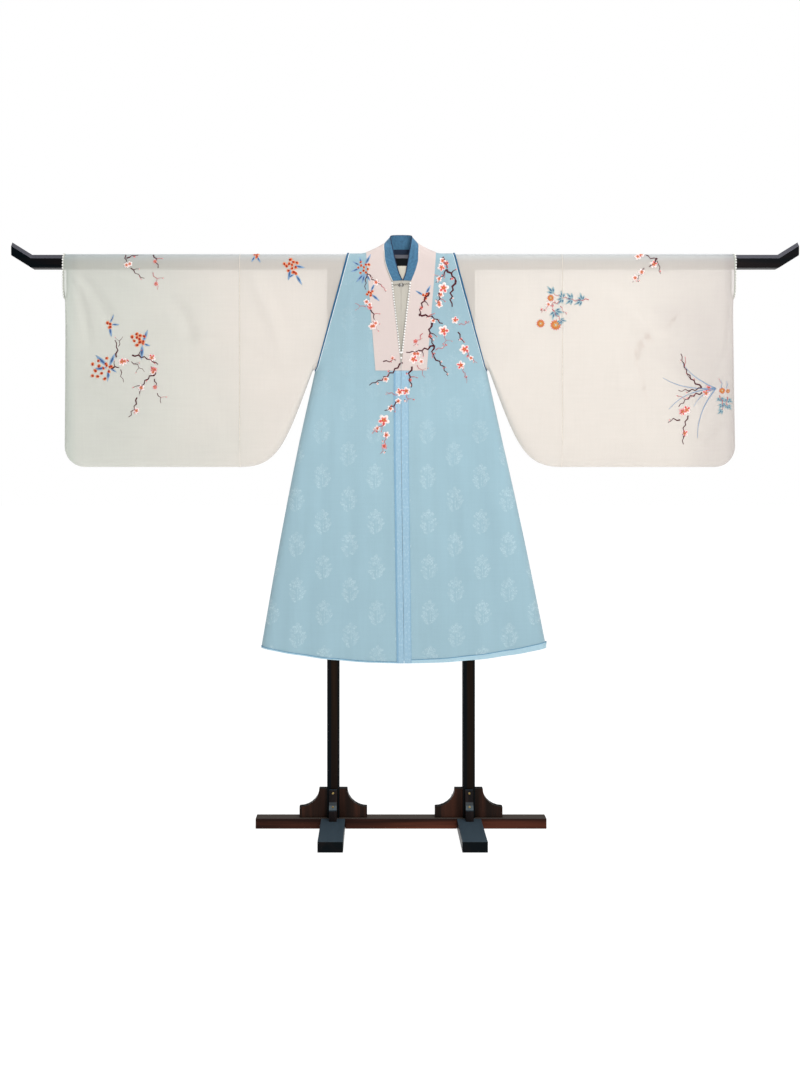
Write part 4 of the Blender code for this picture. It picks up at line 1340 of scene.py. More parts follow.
@dataclass
class Sleeve:
    """One wide sleeve, cut in an upper and an outer piece, with its bound opening."""

    form: HangingForm
    shop: Shop
    hand: int
    word: str
    creases: tuple[Crease, ...]
    cloth: Cloth
    edge_cloth: Cloth
    top_start: float = 0.135
    start: Spot = (0.231, 1.284)
    start_turn: Spot = (0.240, 1.2805)
    curve: tuple[Spot, ...] = ((0.2475, 1.2765), (0.323, 1.068), (0.345, 1.008), (0.4490, 1.008))
    curve_steps: int = 22
    end: float = 0.9375
    end_pull: float = 0.0030
    corner: float = 0.056
    bottom_steps: int = 24
    corner_steps: int = 9
    end_steps: int = 22
    cuff_x: float = 0.9320
    cuff_pull: float = 0.0050
    cuff_bottom: float = 1.480
    cuff_depth: float = 0.005
    cuff_rows: Triple = (0.0, 0.5, 0.94)
    closing_extra: float = 0.070
    closing_steps: int = 9
    flat_steps: int = 30
    crease_end: float = 0.06
    seam_lift: float = 0.0001
    wall: Pair = (0.0001, 0.0012)
    cuff_wall: Pair = (0.0, 0.0017)
    gap: float = 0.0003
    upper_cut: Triple = (0.33, 1.19, 0.267)
    outer_cut: Triple = (0.50, 1.22, 0.60)

    @property
    def seam(self) -> float:
        """Where the outer piece is sewn on."""
        return self.curve[-1][0]

    @property
    def cuff_place(self) -> float:
        """How far out the cut end is."""
        return self.cuff_x - self.hand * self.cuff_pull

    def inner_run(self) -> list[Spot]:
        """The lower edge from the underarm to the seam, on one cubic curve."""
        points = [self.start, self.start_turn]
        for t in spread(0.0, 1.0, self.curve_steps):
            weights = ((1 - t) ** 3, 3 * t * (1 - t) ** 2, 3 * t * t * (1 - t), t**3)
            x = sum(w * point[0] for w, point in zip(weights, self.curve))
            z = sum(w * point[1] for w, point in zip(weights, self.curve))
            points.append((x, z))
        return points

    def outer_run(self) -> list[Spot]:
        """The lower edge from the seam, round the corner and up the end to the cuff."""
        bottom = self.curve[-1][1]
        end_x = self.end - self.hand * self.end_pull
        corner_x = end_x - self.corner
        corner_z = bottom + self.corner
        points = [(x, bottom) for x in spread(self.seam + self.gap, corner_x, self.bottom_steps)]
        for turn in spread(0.0, math.pi / 2, self.corner_steps)[1:]:
            across, down = self.corner * math.sin(turn), self.corner * math.cos(turn)
            points.append((corner_x + across, corner_z - down))
        for share in spread(0.0, 1.0, self.end_steps)[1:]:
            points.append((blend(end_x, self.cuff_place, share), blend(corner_z, self.cuff_bottom, share)))
        return points

    def half_ring(self, ray: Vector, length: float, offset: float, closing: float) -> list[Sequence[float]]:
        """The front half of a section, from its top on the rod down to the closing of its lower edge.

        Args:
            ray: The way down the sleeve.
            length: How far down the lower edge is.
            offset: The layer.
            closing: The height of the lower edge's rounding.

        Returns:
            Depth, way down and height on the cut cloth of each point.
        """
        form = self.form
        hang = form.hang + offset
        half: list[Sequence[float]] = []
        for angle in reversed(form.arch_angles()):
            z = form.spring + (form.arch_rise + offset) * math.sin(angle)
            down = (z - form.shoulder_top) / ray.z
            half.append((hang * math.cos(angle), down, form.spring + form.arch_rise * angle))
        half[0] = (0.0, *half[0][1:])
        steps = [(hang, down) for down in spread(half[-1][1], length - closing, self.flat_steps)[1:]]
        for step in range(1, self.closing_steps):
            angle = math.pi / 2 * step / self.closing_steps
            down = length - closing + (closing + offset) * math.sin(angle)
            steps.append((hang * math.cos(angle), down))
        return half + [(depth, down, form.shoulder_top + ray.z * down) for depth, down in steps]

    def crease(self, x: float, z: float, up: float) -> float:
        """How far the creases stand out, less towards the rod and not at all on it."""
        if up >= self.form.spring:
            return 0.0
        return crease_height(self.creases, x, z) * ease((self.form.spring - up) / self.crease_end)

    def ring(self, top_x: float, bottom: Spot, offset: float, closing: float) -> list[ClothPoint]:
        """A closed section of the sleeve, from its top on the rod down to a point of its lower edge.

        Args:
            top_x: Where it starts on the rod.
            bottom: The point of the lower edge.
            offset: The layer.
            closing: The height of the lower edge's rounding.

        Returns:
            The points round the section.
        """
        top = self.form.shoulder_top
        ray = Vector((bottom[0] - top_x, 0.0, bottom[1] - top))
        length = ray.length
        ray.normalize()
        hang = self.form.hang + offset
        half = self.half_ring(ray, length, offset, closing)
        lowest = (-1, 0.0, length + offset, top + ray.z * (length + offset))
        around = [(-1, *entry) for entry in half] + [lowest] + [(1, *entry) for entry in reversed(half[1:])]
        points = []
        for face, depth, down, up in around:
            x = top_x + ray.x * down
            z = top + ray.z * down
            lean = self.crease(self.hand * x, z, up) * depth / hang
            place = Vector((x, face * (depth + lean), z))
            points.append(self.form.settle(self.hand, ClothPoint(place, x, up)))
        return points

    def ground(self, x: float, up: float, lift: float, face: int = -1) -> Vector:
        """A point just off the sleeve's outer cloth, on its front or its back.

        Args:
            x: Place from the middle, negative to the left.
            up: Height on the cut cloth.
            lift: How far above the cloth.
            face: -1 for the front and 1 for the back.

        Returns:
            The point in the frame.
        """
        angle = max(up - self.form.spring, 0.0) / self.form.arch_rise
        out = self.wall[1] + lift
        z = up if angle == 0 else self.form.spring + (self.form.arch_rise + out) * math.sin(angle)
        depth = (self.form.hang + out) * math.cos(angle) + self.crease(x, up, up)
        return Vector((x + self.form.middle, face * depth, z))

    def build(self) -> None:
        """Both pieces and the bound edge."""
        runs = (self.inner_run(), self.outer_run())
        lengths = [self.lengths(run) for run in runs]
        whole = lengths[0][-1] + lengths[1][-1]
        tops = ((self.top_start, self.seam), (self.seam + self.gap, self.cuff_place))
        cuts = (("upper", self.upper_cut), ("outer", self.outer_cut))
        before = 0.0
        for (part, (width, height, area)), run, along, top in zip(cuts, runs, lengths, tops):
            faces: list[Grid] = [[], []]
            for bottom, length in zip(run, along):
                top_x = blend(*top, length / along[-1])
                share = math.sin(math.pi * (before + length) / whole)
                closing = self.form.closing + self.closing_extra * share
                for rings, offset in zip(faces, self.wall):
                    rings.append(self.ring(top_x, bottom, offset, closing))
            before += along[-1]
            name = f"sleeve_{part}_{self.word}"
            piece = self.shop.shell(f"{name}_cloth", faces, self.cloth, "cream_cloth", name, ring=True)
        closing = self.form.closing + self.closing_extra
        seam = self.ring(self.seam, runs[0][-1], self.wall[1] + self.seam_lift, closing)
        cord = Hard("sleeve seam", srgb(212, 204, 190), srgb(226, 219, 208), 0.8, coat=0.0)
        path = [point.place for point in seam + seam[:1]]
        self.shop.line(f"sleeve_seam_{self.word}", [path], 0.0006, cord, "cream_cloth")
        places = [self.cuff_place + self.gap + self.cuff_depth * share for share in self.cuff_rows]
        faces = []
        for offset in self.cuff_wall:
            faces.append([self.ring(x, (x, self.cuff_bottom), offset, self.form.closing) for x in places])
        name = f"cuff_{self.word}"
        self.shop.shell(f"{name}_cloth", faces, self.edge_cloth, "pearl_trim", name, ring=True)

    @staticmethod
    def lengths(points: Sequence[Spot]) -> list[float]:
        """How far along the line each point is."""
        along = [0.0]
        for first, second in zip(points, points[1:]):
            along.append(along[-1] + math.dist(first, second))
        return along


class CollarSection(NamedTuple):
    """One section of the collar on the viewer's right: its lower and upper edge, and the way it faces."""

    low_x: float
    low_y: float
    low_z: float
    top_x: float
    top_y: float
    top_z: float
    facing: float


@dataclass
class Collar:
    """The stand collar, open at the throat."""

    form: HangingForm
    shop: Shop
    wall: Pair = (0.0, 0.0016)
    bulge: float = 0.0045
    lean: Pair = (0.0045, 0.0012)
    widen: float = 1.03
    lean_rise: float = 0.09
    fine_steps: int = 5
    across_steps: int = 12
    panel_steps: tuple[int, int] = (3, 6)
    denim: Cloth = Cloth(
        "collar blue",
        srgb(68, 114, 146),
        thread=0.0012,
        blotch=0.45,
        blotch_scale=120.0,
        slub=0.3,
    )
    sections: tuple[CollarSection, ...] = (
        CollarSection(0.0276, -0.0218, 1.5245, 0.0009, -0.0218, 1.5262, 0),
        CollarSection(0.0386, -0.0218, 1.5525, 0.0095, -0.0222, 1.5460, 0),
        CollarSection(0.0456, -0.0218, 1.5790, 0.0140, -0.0226, 1.5650, 0),
        CollarSection(0.0462, -0.0202, 1.5992, 0.0172, -0.0224, 1.5810, 20),
        CollarSection(0.0464, -0.0155, 1.6163, 0.0200, -0.0214, 1.5995, 45),
        CollarSection(0.0458, -0.0084, 1.6278, 0.0232, -0.0175, 1.6190, 68),
        CollarSection(0.0448, 0.0000, 1.6317, 0.0268, -0.0085, 1.6390, 90),
        CollarSection(0.0432, 0.0056, 1.6300, 0.0286, 0.0020, 1.6510, 115),
        CollarSection(0.0408, 0.0103, 1.6244, 0.0268, 0.0090, 1.6560, 135),
        CollarSection(0.0236, 0.0162, 1.6098, 0.0160, 0.0150, 1.6585, 160),
        CollarSection(0.0000, 0.0180, 1.6030, 0.0000, 0.0165, 1.6590, 180),
    )

    @staticmethod
    def between(values: Sequence[float], place: float) -> float:
        """A smooth curve through a row of values, read at a place along it.

        Args:
            values: The row.
            place: Where it is read, 0 at the first value and 1 at the second.

        Returns:
            The curve's value there.
        """
        last = len(values) - 1
        index = min(int(place), last - 1)
        t = place - index
        before = values[max(index - 1, 0)]
        after = values[min(index + 2, last)]
        first, second = values[index], values[index + 1]
        slope_first = (second - before) / 2
        slope_second = (after - first) / 2
        return (
            first * (1 + 2 * t) * (1 - t) ** 2
            + slope_first * t * (1 - t) ** 2
            + second * t * t * (3 - 2 * t)
            - slope_second * t * t * (1 - t)
        )

    def build(self) -> None:
        """The collar as one curved band."""
        count = (len(self.sections) - 1) * self.fine_steps
        half = []
        for step in range(count + 1):
            place = step / self.fine_steps
            half.append([self.between([row[i] for row in self.sections], place) for i in range(7)])
        half[-1][0] = half[-1][3] = 0.0
        sections = [(1, values) for values in half] + [(-1, values) for values in reversed(half[:-1])]
        faces = []
        for thickness in self.wall:
            grid = []
            along = 0.0
            previous: Vector | None = None
            for hand, (low_x, low_y, low_z, top_x, top_y, top_z, facing) in sections:
                lean = blend(*self.lean, (low_z - self.sections[0].low_z) / self.lean_rise)
                low = Vector((hand * low_x * self.widen + lean, low_y, low_z))
                top = Vector((hand * top_x + lean, top_y, top_z))
                turn = math.radians(facing)
                out = Vector((hand * math.sin(turn), -math.cos(turn), 0.0))
                along += (low - previous).length if previous else 0.0
                previous = low
                line = []
                for share in spread(0.0, 1.0, self.across_steps):
                    swell = self.bulge * abs(out.x) * math.sin(math.pi * share)
                    place = low.lerp(top, share) + out * (thickness + swell)
                    place.x += self.form.middle
                    line.append(ClothPoint(place, along, share * (top - low).length))
                grid.append(line)
            faces.append(grid)
        piece = self.shop.shell("collar_cloth", faces, self.denim, "collar_blue", "collar")
        # Painted shadow: a dark cord along the collar's top edge, where its inside falls into shade.
        navy = Hard("collar edge", srgb(16, 34, 62), srgb(24, 46, 78), 0.7, coat=0.0)
        fold = [row[-1].place for row in faces[1]]
        self.shop.line("collar_edge", [fold], 0.0013, navy, "collar_blue")
        white = Hard("collar line", srgb(236, 232, 226), srgb(222, 216, 208), 0.8, coat=0.0)
        foot = [row[0].place for row in faces[1]]
        self.shop.line("collar_line", [foot], 0.0009, white, "pearl_trim")
        self.build_lining()

    def build_panel(self, name: str, corners: tuple[Vector, Vector], cloth: Cloth, slot: str) -> None:
        """A small upright piece of cloth inside the neck.

        Args:
            name: The piece's name.
            corners: Its lower left and upper right corner, from the stand's middle.
            cloth: What it is made of.
            slot: Not used.
        """
        low, high = corners
        up_steps, across_steps = self.panel_steps
        faces = []
        for y in (high.y, low.y):
            grid = []
            for z in spread(low.z, high.z, up_steps):
                xs = spread(low.x, high.x, across_steps)
                grid.append([ClothPoint(Vector((x + self.form.middle, y, z)), x, z) for x in xs])
            faces.append(grid)
        self.shop.shell(name, faces, cloth, slot)

    def build_lining(self) -> None:
        """The navy lining at the nape, painted darker as shade inside the neck, and the plain cloth that
        shows in the throat below the rod, the blouse's cream painted darker as shade.
        """
        # Painted shade: the navy lining is darker than the collar, as the inside of the neck is in shade.
        navy = Cloth("neck lining", srgb(30, 44, 66), roughness=0.8, thread=0.0012)
        nape = (Vector((-0.030, 0.0128, 1.5900)), Vector((0.032, 0.0136, 1.6180)))
        self.build_panel("neck_lining", nape, navy, "collar_blue")
        # Painted shade: the cream that shows in the throat is painted darker, as in shade.
        plain = Cloth("throat cloth", srgb(203, 198, 183), roughness=0.7, sheen=0.2, blotch=0.06)
        throat = (Vector((-0.014, -0.0212, 1.5266)), Vector((0.022, -0.0206, 1.5660)))
        self.build_panel("throat_facing", throat, plain, "cream_cloth")


Ground = Callable[[float, float, float], Vector]


class Needle:
    """Stitches raised shapes onto a ground and gathers them into one piece."""

    dome: float = 0.0009
    rim: float = 0.00005
    sunk: float = -0.0003
    shoulder_at: float = 0.6
    shoulder_height: float = 0.82
    rim_height: float = 0.3
    mark_width: float = 0.02
    mark_step: float = 0.004
    bloom_scale: float = 1.22
    stroke: float = 1.22
    full_bloom: float = 0.0105
    small_bloom: float = 0.0075
    petal_reach: float = 0.56
    petal_size: Pair = (0.46, 0.37)
    petal_root: float = 0.12
    heart_size: Pair = (0.40, 0.38)
    eye_size: Pair = (0.20, 0.20)
    ray_count: int = 13

    def __init__(self, name: str, ground: Ground, heart: Thread) -> None:
        """Starts with nothing stitched."""
        self.name = name
        self.ground = ground
        self.heart = heart
        self.points: list[Vector] = []
        self.marks: list[Spot] = []
        self.faces: list[tuple[int, ...]] = []
        self.threads: list[Thread] = []

    def add_point(self, spot: Spot, lift: float, mark: Spot) -> int:
        """Adds one point above a spot of the ground."""
        self.points.append(self.ground(spot[0], spot[1], lift))
        self.marks.append(mark)
        return len(self.points) - 1

    def add_face(self, corners: Sequence[int], thread: Thread) -> None:
        """Adds one face."""
        self.faces.append(tuple(corners))
        self.threads.append(thread)

    def pad(self, centre: Spot, outline: Sequence[Spot], thread: Thread, height: float = 1.0) -> None:
        """A raised patch: a dome over an outline, closed below.

        Args:
            centre: Where the dome is highest.
            outline: Points round the patch.
            thread: Its thread.
            height: The dome's height as a share of the usual one.
        """
        count = len(outline)
        top = self.add_point(centre, self.dome * height, (0.0, 0.0))
        under = self.add_point(centre, self.sunk, (0.0, 0.0))
        middle, rim, base = [], [], []
        for index, (x, up) in enumerate(outline):
            around = index / count * self.mark_width
            half = (blend(centre[0], x, self.shoulder_at), blend(centre[1], up, self.shoulder_at))
            dome = self.dome * height
            middle.append(self.add_point(half, dome * self.shoulder_height, (around, self.shoulder_at)))
            rim.append(self.add_point((x, up), dome * self.rim_height + self.rim, (around, 1.0)))
            base.append(self.add_point((x, up), self.sunk, (around, 1.0)))
        for index in range(count):
            after = (index + 1) % count
            self.add_face((top, middle[index], middle[after]), thread)
            self.add_face((middle[index], rim[index], rim[after], middle[after]), thread)
            self.add_face((rim[index], base[index], base[after], rim[after]), thread)
            self.add_face((under, base[after], base[index]), thread)

    def oval(
        self, centre: Spot, size: Spot, turn: float, thread: Thread, sides: int = 10, height: float = 1.0
    ) -> None:
        """A round or oval patch, of two half widths."""
        length, width = size
        outline = []
        for index in range(sides):
            angle = math.tau * index / sides
            along, aside = length * math.cos(angle), width * math.sin(angle)
            outline.append(self.turned(centre, along, aside, turn))
        self.pad(centre, outline, thread, height)

    @staticmethod
    def turned(centre: Spot, along: float, aside: float, turn: float) -> Spot:
        """A spot measured from a centre along a direction and to its left."""
        cosine, sine = math.cos(turn), math.sin(turn)
        return centre[0] + along * cosine - aside * sine, centre[1] + along * sine + aside * cosine

    def leaf(self, root: Spot, length: float, width: float, turn: float, thread: Thread) -> None:
        """A pointed leaf."""
        shares = (0.0, 0.22, 0.5, 0.78, 1.0, 0.78, 0.5, 0.22)
        sides = (0.0, 0.75, 1.0, 0.6, 0.0, -0.6, -1.0, -0.75)
        outline = [self.turned(root, length * s, width / 2 * a, turn) for s, a in zip(shares, sides)]
        self.pad(self.turned(root, length * 0.45, 0.0, turn), outline, thread, 0.8)

    def line(self, path: Sequence[Spot], first: float, last: float, thread: Thread) -> None:
        """A tapering line of stitches, half round across.

        Args:
            path: The spots that it follows.
            first: Its width at the start.
            last: Its width at the end.
            thread: Its thread.
        """
        rows = []
        for index, spot in enumerate(path):
            before = path[max(index - 1, 0)]
            after = path[min(index + 1, len(path) - 1)]
            turn = math.atan2(after[1] - before[1], after[0] - before[0])
            half = blend(first, last, index / (len(path) - 1)) * self.stroke / 2
            along = index * self.mark_step
            lift = min(self.dome, half * 0.7)
            edges = [self.turned(spot, 0.0, side * half, turn) for side in (1, 0.5, -0.5, -1)]
            lifts = (self.rim, lift, lift, self.rim)
            row = [self.add_point(e, h, (along, s)) for e, h, s in zip(edges, lifts, (1.0, 0.4, 0.4, 1.0))]
            rows.append(row + [self.add_point(edges[side], self.sunk, (along, 1.0)) for side in (3, 0)])
        for low, high in zip(rows, rows[1:]):
            for index in range(len(low)):
                after = (index + 1) % len(low)
                self.add_face((low[index], low[after], high[after], high[index]), thread)
        self.add_face(rows[0][::-1], thread)
        self.add_face(rows[-1], thread)

    def blossom(self, centre: Spot, radius: float, turn: float, petal: Thread = Thread.PETAL) -> None:
        """A five-petalled plum blossom with its heart.

        Args:
            centre: Its middle.
            radius: Its size on the chart, before it is scaled.
            turn: Which way its first petal points.
            petal: The petals' thread.
        """
        radius *= self.bloom_scale
        for step in range(5):
            way = turn + math.tau * step / 5
            middle = self.turned(centre, radius * self.petal_reach, 0.0, way)
            root = self.turned(centre, radius * self.petal_root, 0.0, way)
            length, width = (radius * share for share in self.petal_size)
            outline = []
            for index in range(8):
                angle = math.pi + math.tau * index / 8
                outline.append(self.turned(middle, length * math.cos(angle), width * math.sin(angle), way))
            dark = radius > self.full_bloom and step in (0, 1)
            peak = middle if dark or radius <= self.small_bloom else root
            self.pad(peak, outline, Thread.BLUSH if dark else petal)
        heart, eye = [(radius * size[0], radius * size[1]) for size in (self.heart_size, self.eye_size)]
        self.oval(centre, heart, turn, self.heart, 8, 1.5)
        self.oval(centre, eye, turn, Thread.OCHRE, 6, 2.0)

    def bud(self, centre: Spot, radius: float, turn: float, petal: Thread = Thread.PETAL) -> None:
        """A closed bud in its cup."""
        self.oval(centre, (radius, radius * 0.72), turn, petal, 8)
        cup = self.turned(centre, -radius * 0.8, 0.0, turn)
        self.oval(cup, (radius * 0.42, radius * 0.5), turn, Thread.BARK, 6)

    def daisy(self, centre: Spot, radius: float) -> None:
        """A flower of many narrow petals."""
        for step in range(self.ray_count):
            way = math.tau * step / self.ray_count
            root = self.turned(centre, radius * 0.2, 0.0, way)
            self.leaf(root, radius * 0.80, radius * 0.34, way, Thread.FLAME)
        self.oval(centre, (radius * 0.42, radius * 0.42), 0.0, Thread.OCHRE, 9, 1.5)
        self.oval(centre, (radius * 0.20, radius * 0.20), 0.0, Thread.MIST, 7, 2.0)

    def berry(self, centre: Spot, radius: float, turn: float) -> None:
        """A round berry with a darker side."""
        self.oval(centre, (radius, radius * 0.88), turn, Thread.BERRY, 8)
        shade = self.turned(centre, radius * 0.22, 0.0, turn)
        self.oval(shade, (radius * 0.66, radius * 0.60), turn, Thread.WINE, 6, 1.5)

    def finish(self, shop: Shop) -> None:
        """Joins all that was stitched into one piece.

        Args:
            shop: Where its materials are made.
        """
        data = bpy.data.meshes.new(self.name)
        data.from_pydata(self.points, [], self.faces)
        used = sorted(set(self.threads), key=lambda thread: thread.name)
        for thread in used:
            data.materials.append(shop.dressed(thread.value))
        layer = data.uv_layers.new(name="stitch")
        for polygon, thread in zip(data.polygons, self.threads):
            polygon.material_index = used.index(thread)
            polygon.use_smooth = True
            for loop in polygon.loop_indices:
                layer.data[loop].uv = self.marks[data.loops[loop].vertex_index]
        data.validate()
        work = bmesh.new()
        work.from_mesh(data)
        bmesh.ops.recalc_face_normals(work, faces=work.faces)
        work.to_mesh(data)
        work.free()
        piece = bpy.data.objects.new(self.name, data)
        bpy.context.scene.collection.objects.link(piece)
        shop.fit(piece, "embroidery")


@dataclass(frozen=True)
class Branch:
    """A crooked branch of plum blossom between two rough places."""

    start: Spot
    end: Spot
    width: float = 0.0036
    crook: float = 0.16
    blossoms: int = 2
    buds: int = 2
    twigs: int = 2
    size: float = 0.0085
    seed: int = 1
    thread: Thread = Thread.BARK
    stitch_length: float = 0.009
    jag: Pair = (0.1, 0.45)

    def path(self, chance: random.Random) -> list[Spot]:
        """The branch's spots, turning from side to side."""
        length = math.dist(self.start, self.end)
        steps = max(4, round(length / self.stitch_length))
        turn = math.atan2(self.end[1] - self.start[1], self.end[0] - self.start[0])
        spots = []
        side = chance.choice((-1, 1))
        for step in range(steps + 1):
            share = step / steps
            sway = math.sin(math.pi * share) * length * self.crook
            kink = side * (-1) ** step * chance.uniform(*self.jag) * length / steps
            kink = 0.0 if step in (0, steps) else kink
            spots.append(Needle.turned(self.start, length * share, side * sway * 0.5 + kink, turn))
        return spots

    def stitch(self, needle: Needle) -> None:
        """Stitches the branch, its twigs, blossoms and buds.

        Args:
            needle: What stitches them.
        """
        chance = random.Random(self.seed)
        spots = self.path(chance)
        last = len(spots) - 1
        for number in range(self.twigs):
            place = round(last * (number + 0.6) / (self.twigs + 0.4))
            side = -1 if number % 2 else 1
            self.stitch_twig(needle, spots[min(place, last)], spots[max(place - 1, 0)], side, chance)
        needle.line(spots, self.width, self.width * 0.45, self.thread)
        for number in range(self.buds):
            place = round(last * (number + 1) / (self.buds + 0.5))
            side = 1 if number % 2 else -1
            turn = chance.uniform(0.0, math.tau)
            spot = spots[min(place, last)]
            radius = self.size * chance.uniform(0.40, 0.55)
            petal = chance.choice((Thread.PETAL, Thread.ROSE))
            needle.bud(Needle.turned(spot, 0.0, side * radius * 1.4, turn), radius, turn, petal)
        for number in range(self.blossoms):
            place = round(last * (number + 0.7) / (self.blossoms + 0.1))
            side = -1 if number % 2 else 1
            radius = self.size * chance.uniform(0.75, 1.2)
            spot = spots[min(place, last)]
            turn = chance.uniform(0.0, math.tau)
            centre = Needle.turned(spot, side * radius * 0.7, 0.0, turn)
            needle.blossom(centre, radius, turn, Thread.PETAL if radius > self.size * 0.9 else Thread.ROSE)

    def stitch_twig(
        self, needle: Needle, root: Spot, before: Spot, side: int, chance: random.Random
    ) -> None:
        """One thin twig with a bud at its tip.

        Args:
            needle: What stitches it.
            root: Where it leaves the branch.
            before: The branch's spot before that.
            side: 1 for its left and -1 for its right.
            chance: The branch's random draws.
        """
        turn = math.atan2(root[1] - before[1], root[0] - before[0]) + side * chance.uniform(0.6, 1.1)
        length = max(0.016, math.dist(self.start, self.end) * chance.uniform(0.20, 0.34))
        mid = Needle.turned(root, length * 0.5, side * length * 0.08, turn)
        tip = Needle.turned(root, length, -side * length * 0.04, turn)
        thin = Thread.TWIG if chance.random() < 0.5 else self.thread
        needle.line([root, mid, tip], self.width * 0.5, self.width * 0.25, thin)
        needle.bud(tip, self.size * 0.3, turn, Thread.ROSE)


@dataclass(frozen=True)
class BerryCluster:
    """A bunch of berries between narrow leaves, given by direction in degrees and length."""

    centre: Spot
    berries: int = 9
    reach: float = 0.014
    berry: float = 0.0038
    leaves: tuple[Pair, ...] = ()
    seed: int = 1
    thread: Thread = Thread.SLATE

    def stitch(self, needle: Needle) -> None:
        """Stitches leaves first, then the berries in rings."""
        chance = random.Random(self.seed)
        for degrees, length in self.leaves:
            way = math.radians(degrees)
            root = Needle.turned(self.centre, self.reach * 0.45, 0.0, way)
            needle.leaf(root, length, max(0.0060, length * 0.25), way, self.thread)
        for number in range(self.berries):
            share = math.sqrt((number + 0.2) / self.berries)
            way = number * 2.4 + chance.uniform(-0.2, 0.2)
            spot = Needle.turned(self.centre, self.reach * share, 0.0, way)
            needle.berry(spot, self.berry * chance.uniform(0.9, 1.1), way + 2.0)


@dataclass(frozen=True)
class LeafSpray:
    """A stem with sea-green leaves and many-petalled flowers."""

    start: Spot
    end: Spot
    leaves: int = 8
    leaf: float = 0.016
    flowers: tuple[Triple, ...] = ()
    seed: int = 1

    def stitch(self, needle: Needle) -> None:
        """Stitches the stem, leaves in pairs and the flowers."""
        chance = random.Random(self.seed)
        spots = Branch(self.start, self.end, seed=self.seed).path(chance)
        needle.line(spots, 0.0022, 0.0012, Thread.TWIG)
        turn = math.atan2(self.end[1] - self.start[1], self.end[0] - self.start[0])
        for number in range(self.leaves):
            spot = spots[round((len(spots) - 1) * (number // 2 + 0.5) / (self.leaves / 2))]
            side = 1 if number % 2 else -1
            way = turn + side * chance.uniform(0.6, 1.2)
            size = self.leaf * chance.uniform(0.8, 1.1)
            for lobe, share in ((-0.62, 0.72), (0.62, 0.72), (0.0, 1.0)):
                needle.leaf(spot, size * share, size * 0.30, way + lobe, Thread.SEA)
        for x, up, radius in self.flowers:
            needle.daisy((x, up), radius)


@dataclass(frozen=True)
class Reeds:
    """Long bowed blades that spring from one place."""

    root: Spot
    blades: tuple[Triple, ...]
    width: float = 0.0026

    def stitch(self, needle: Needle) -> None:
        """Stitches each blade from its length, direction and bow."""
        for length, degrees, bow in self.blades:
            turn = math.radians(degrees)
            path = []
            for share in spread(0.0, 1.0, 9):
                aside = bow * math.sin(math.pi * share * 0.75)
                path.append(Needle.turned(self.root, length * share, aside, turn))
            needle.line(path, self.width, self.width * 0.35, Thread.REED)


Motif = Branch | BerryCluster | LeafSpray | Reeds


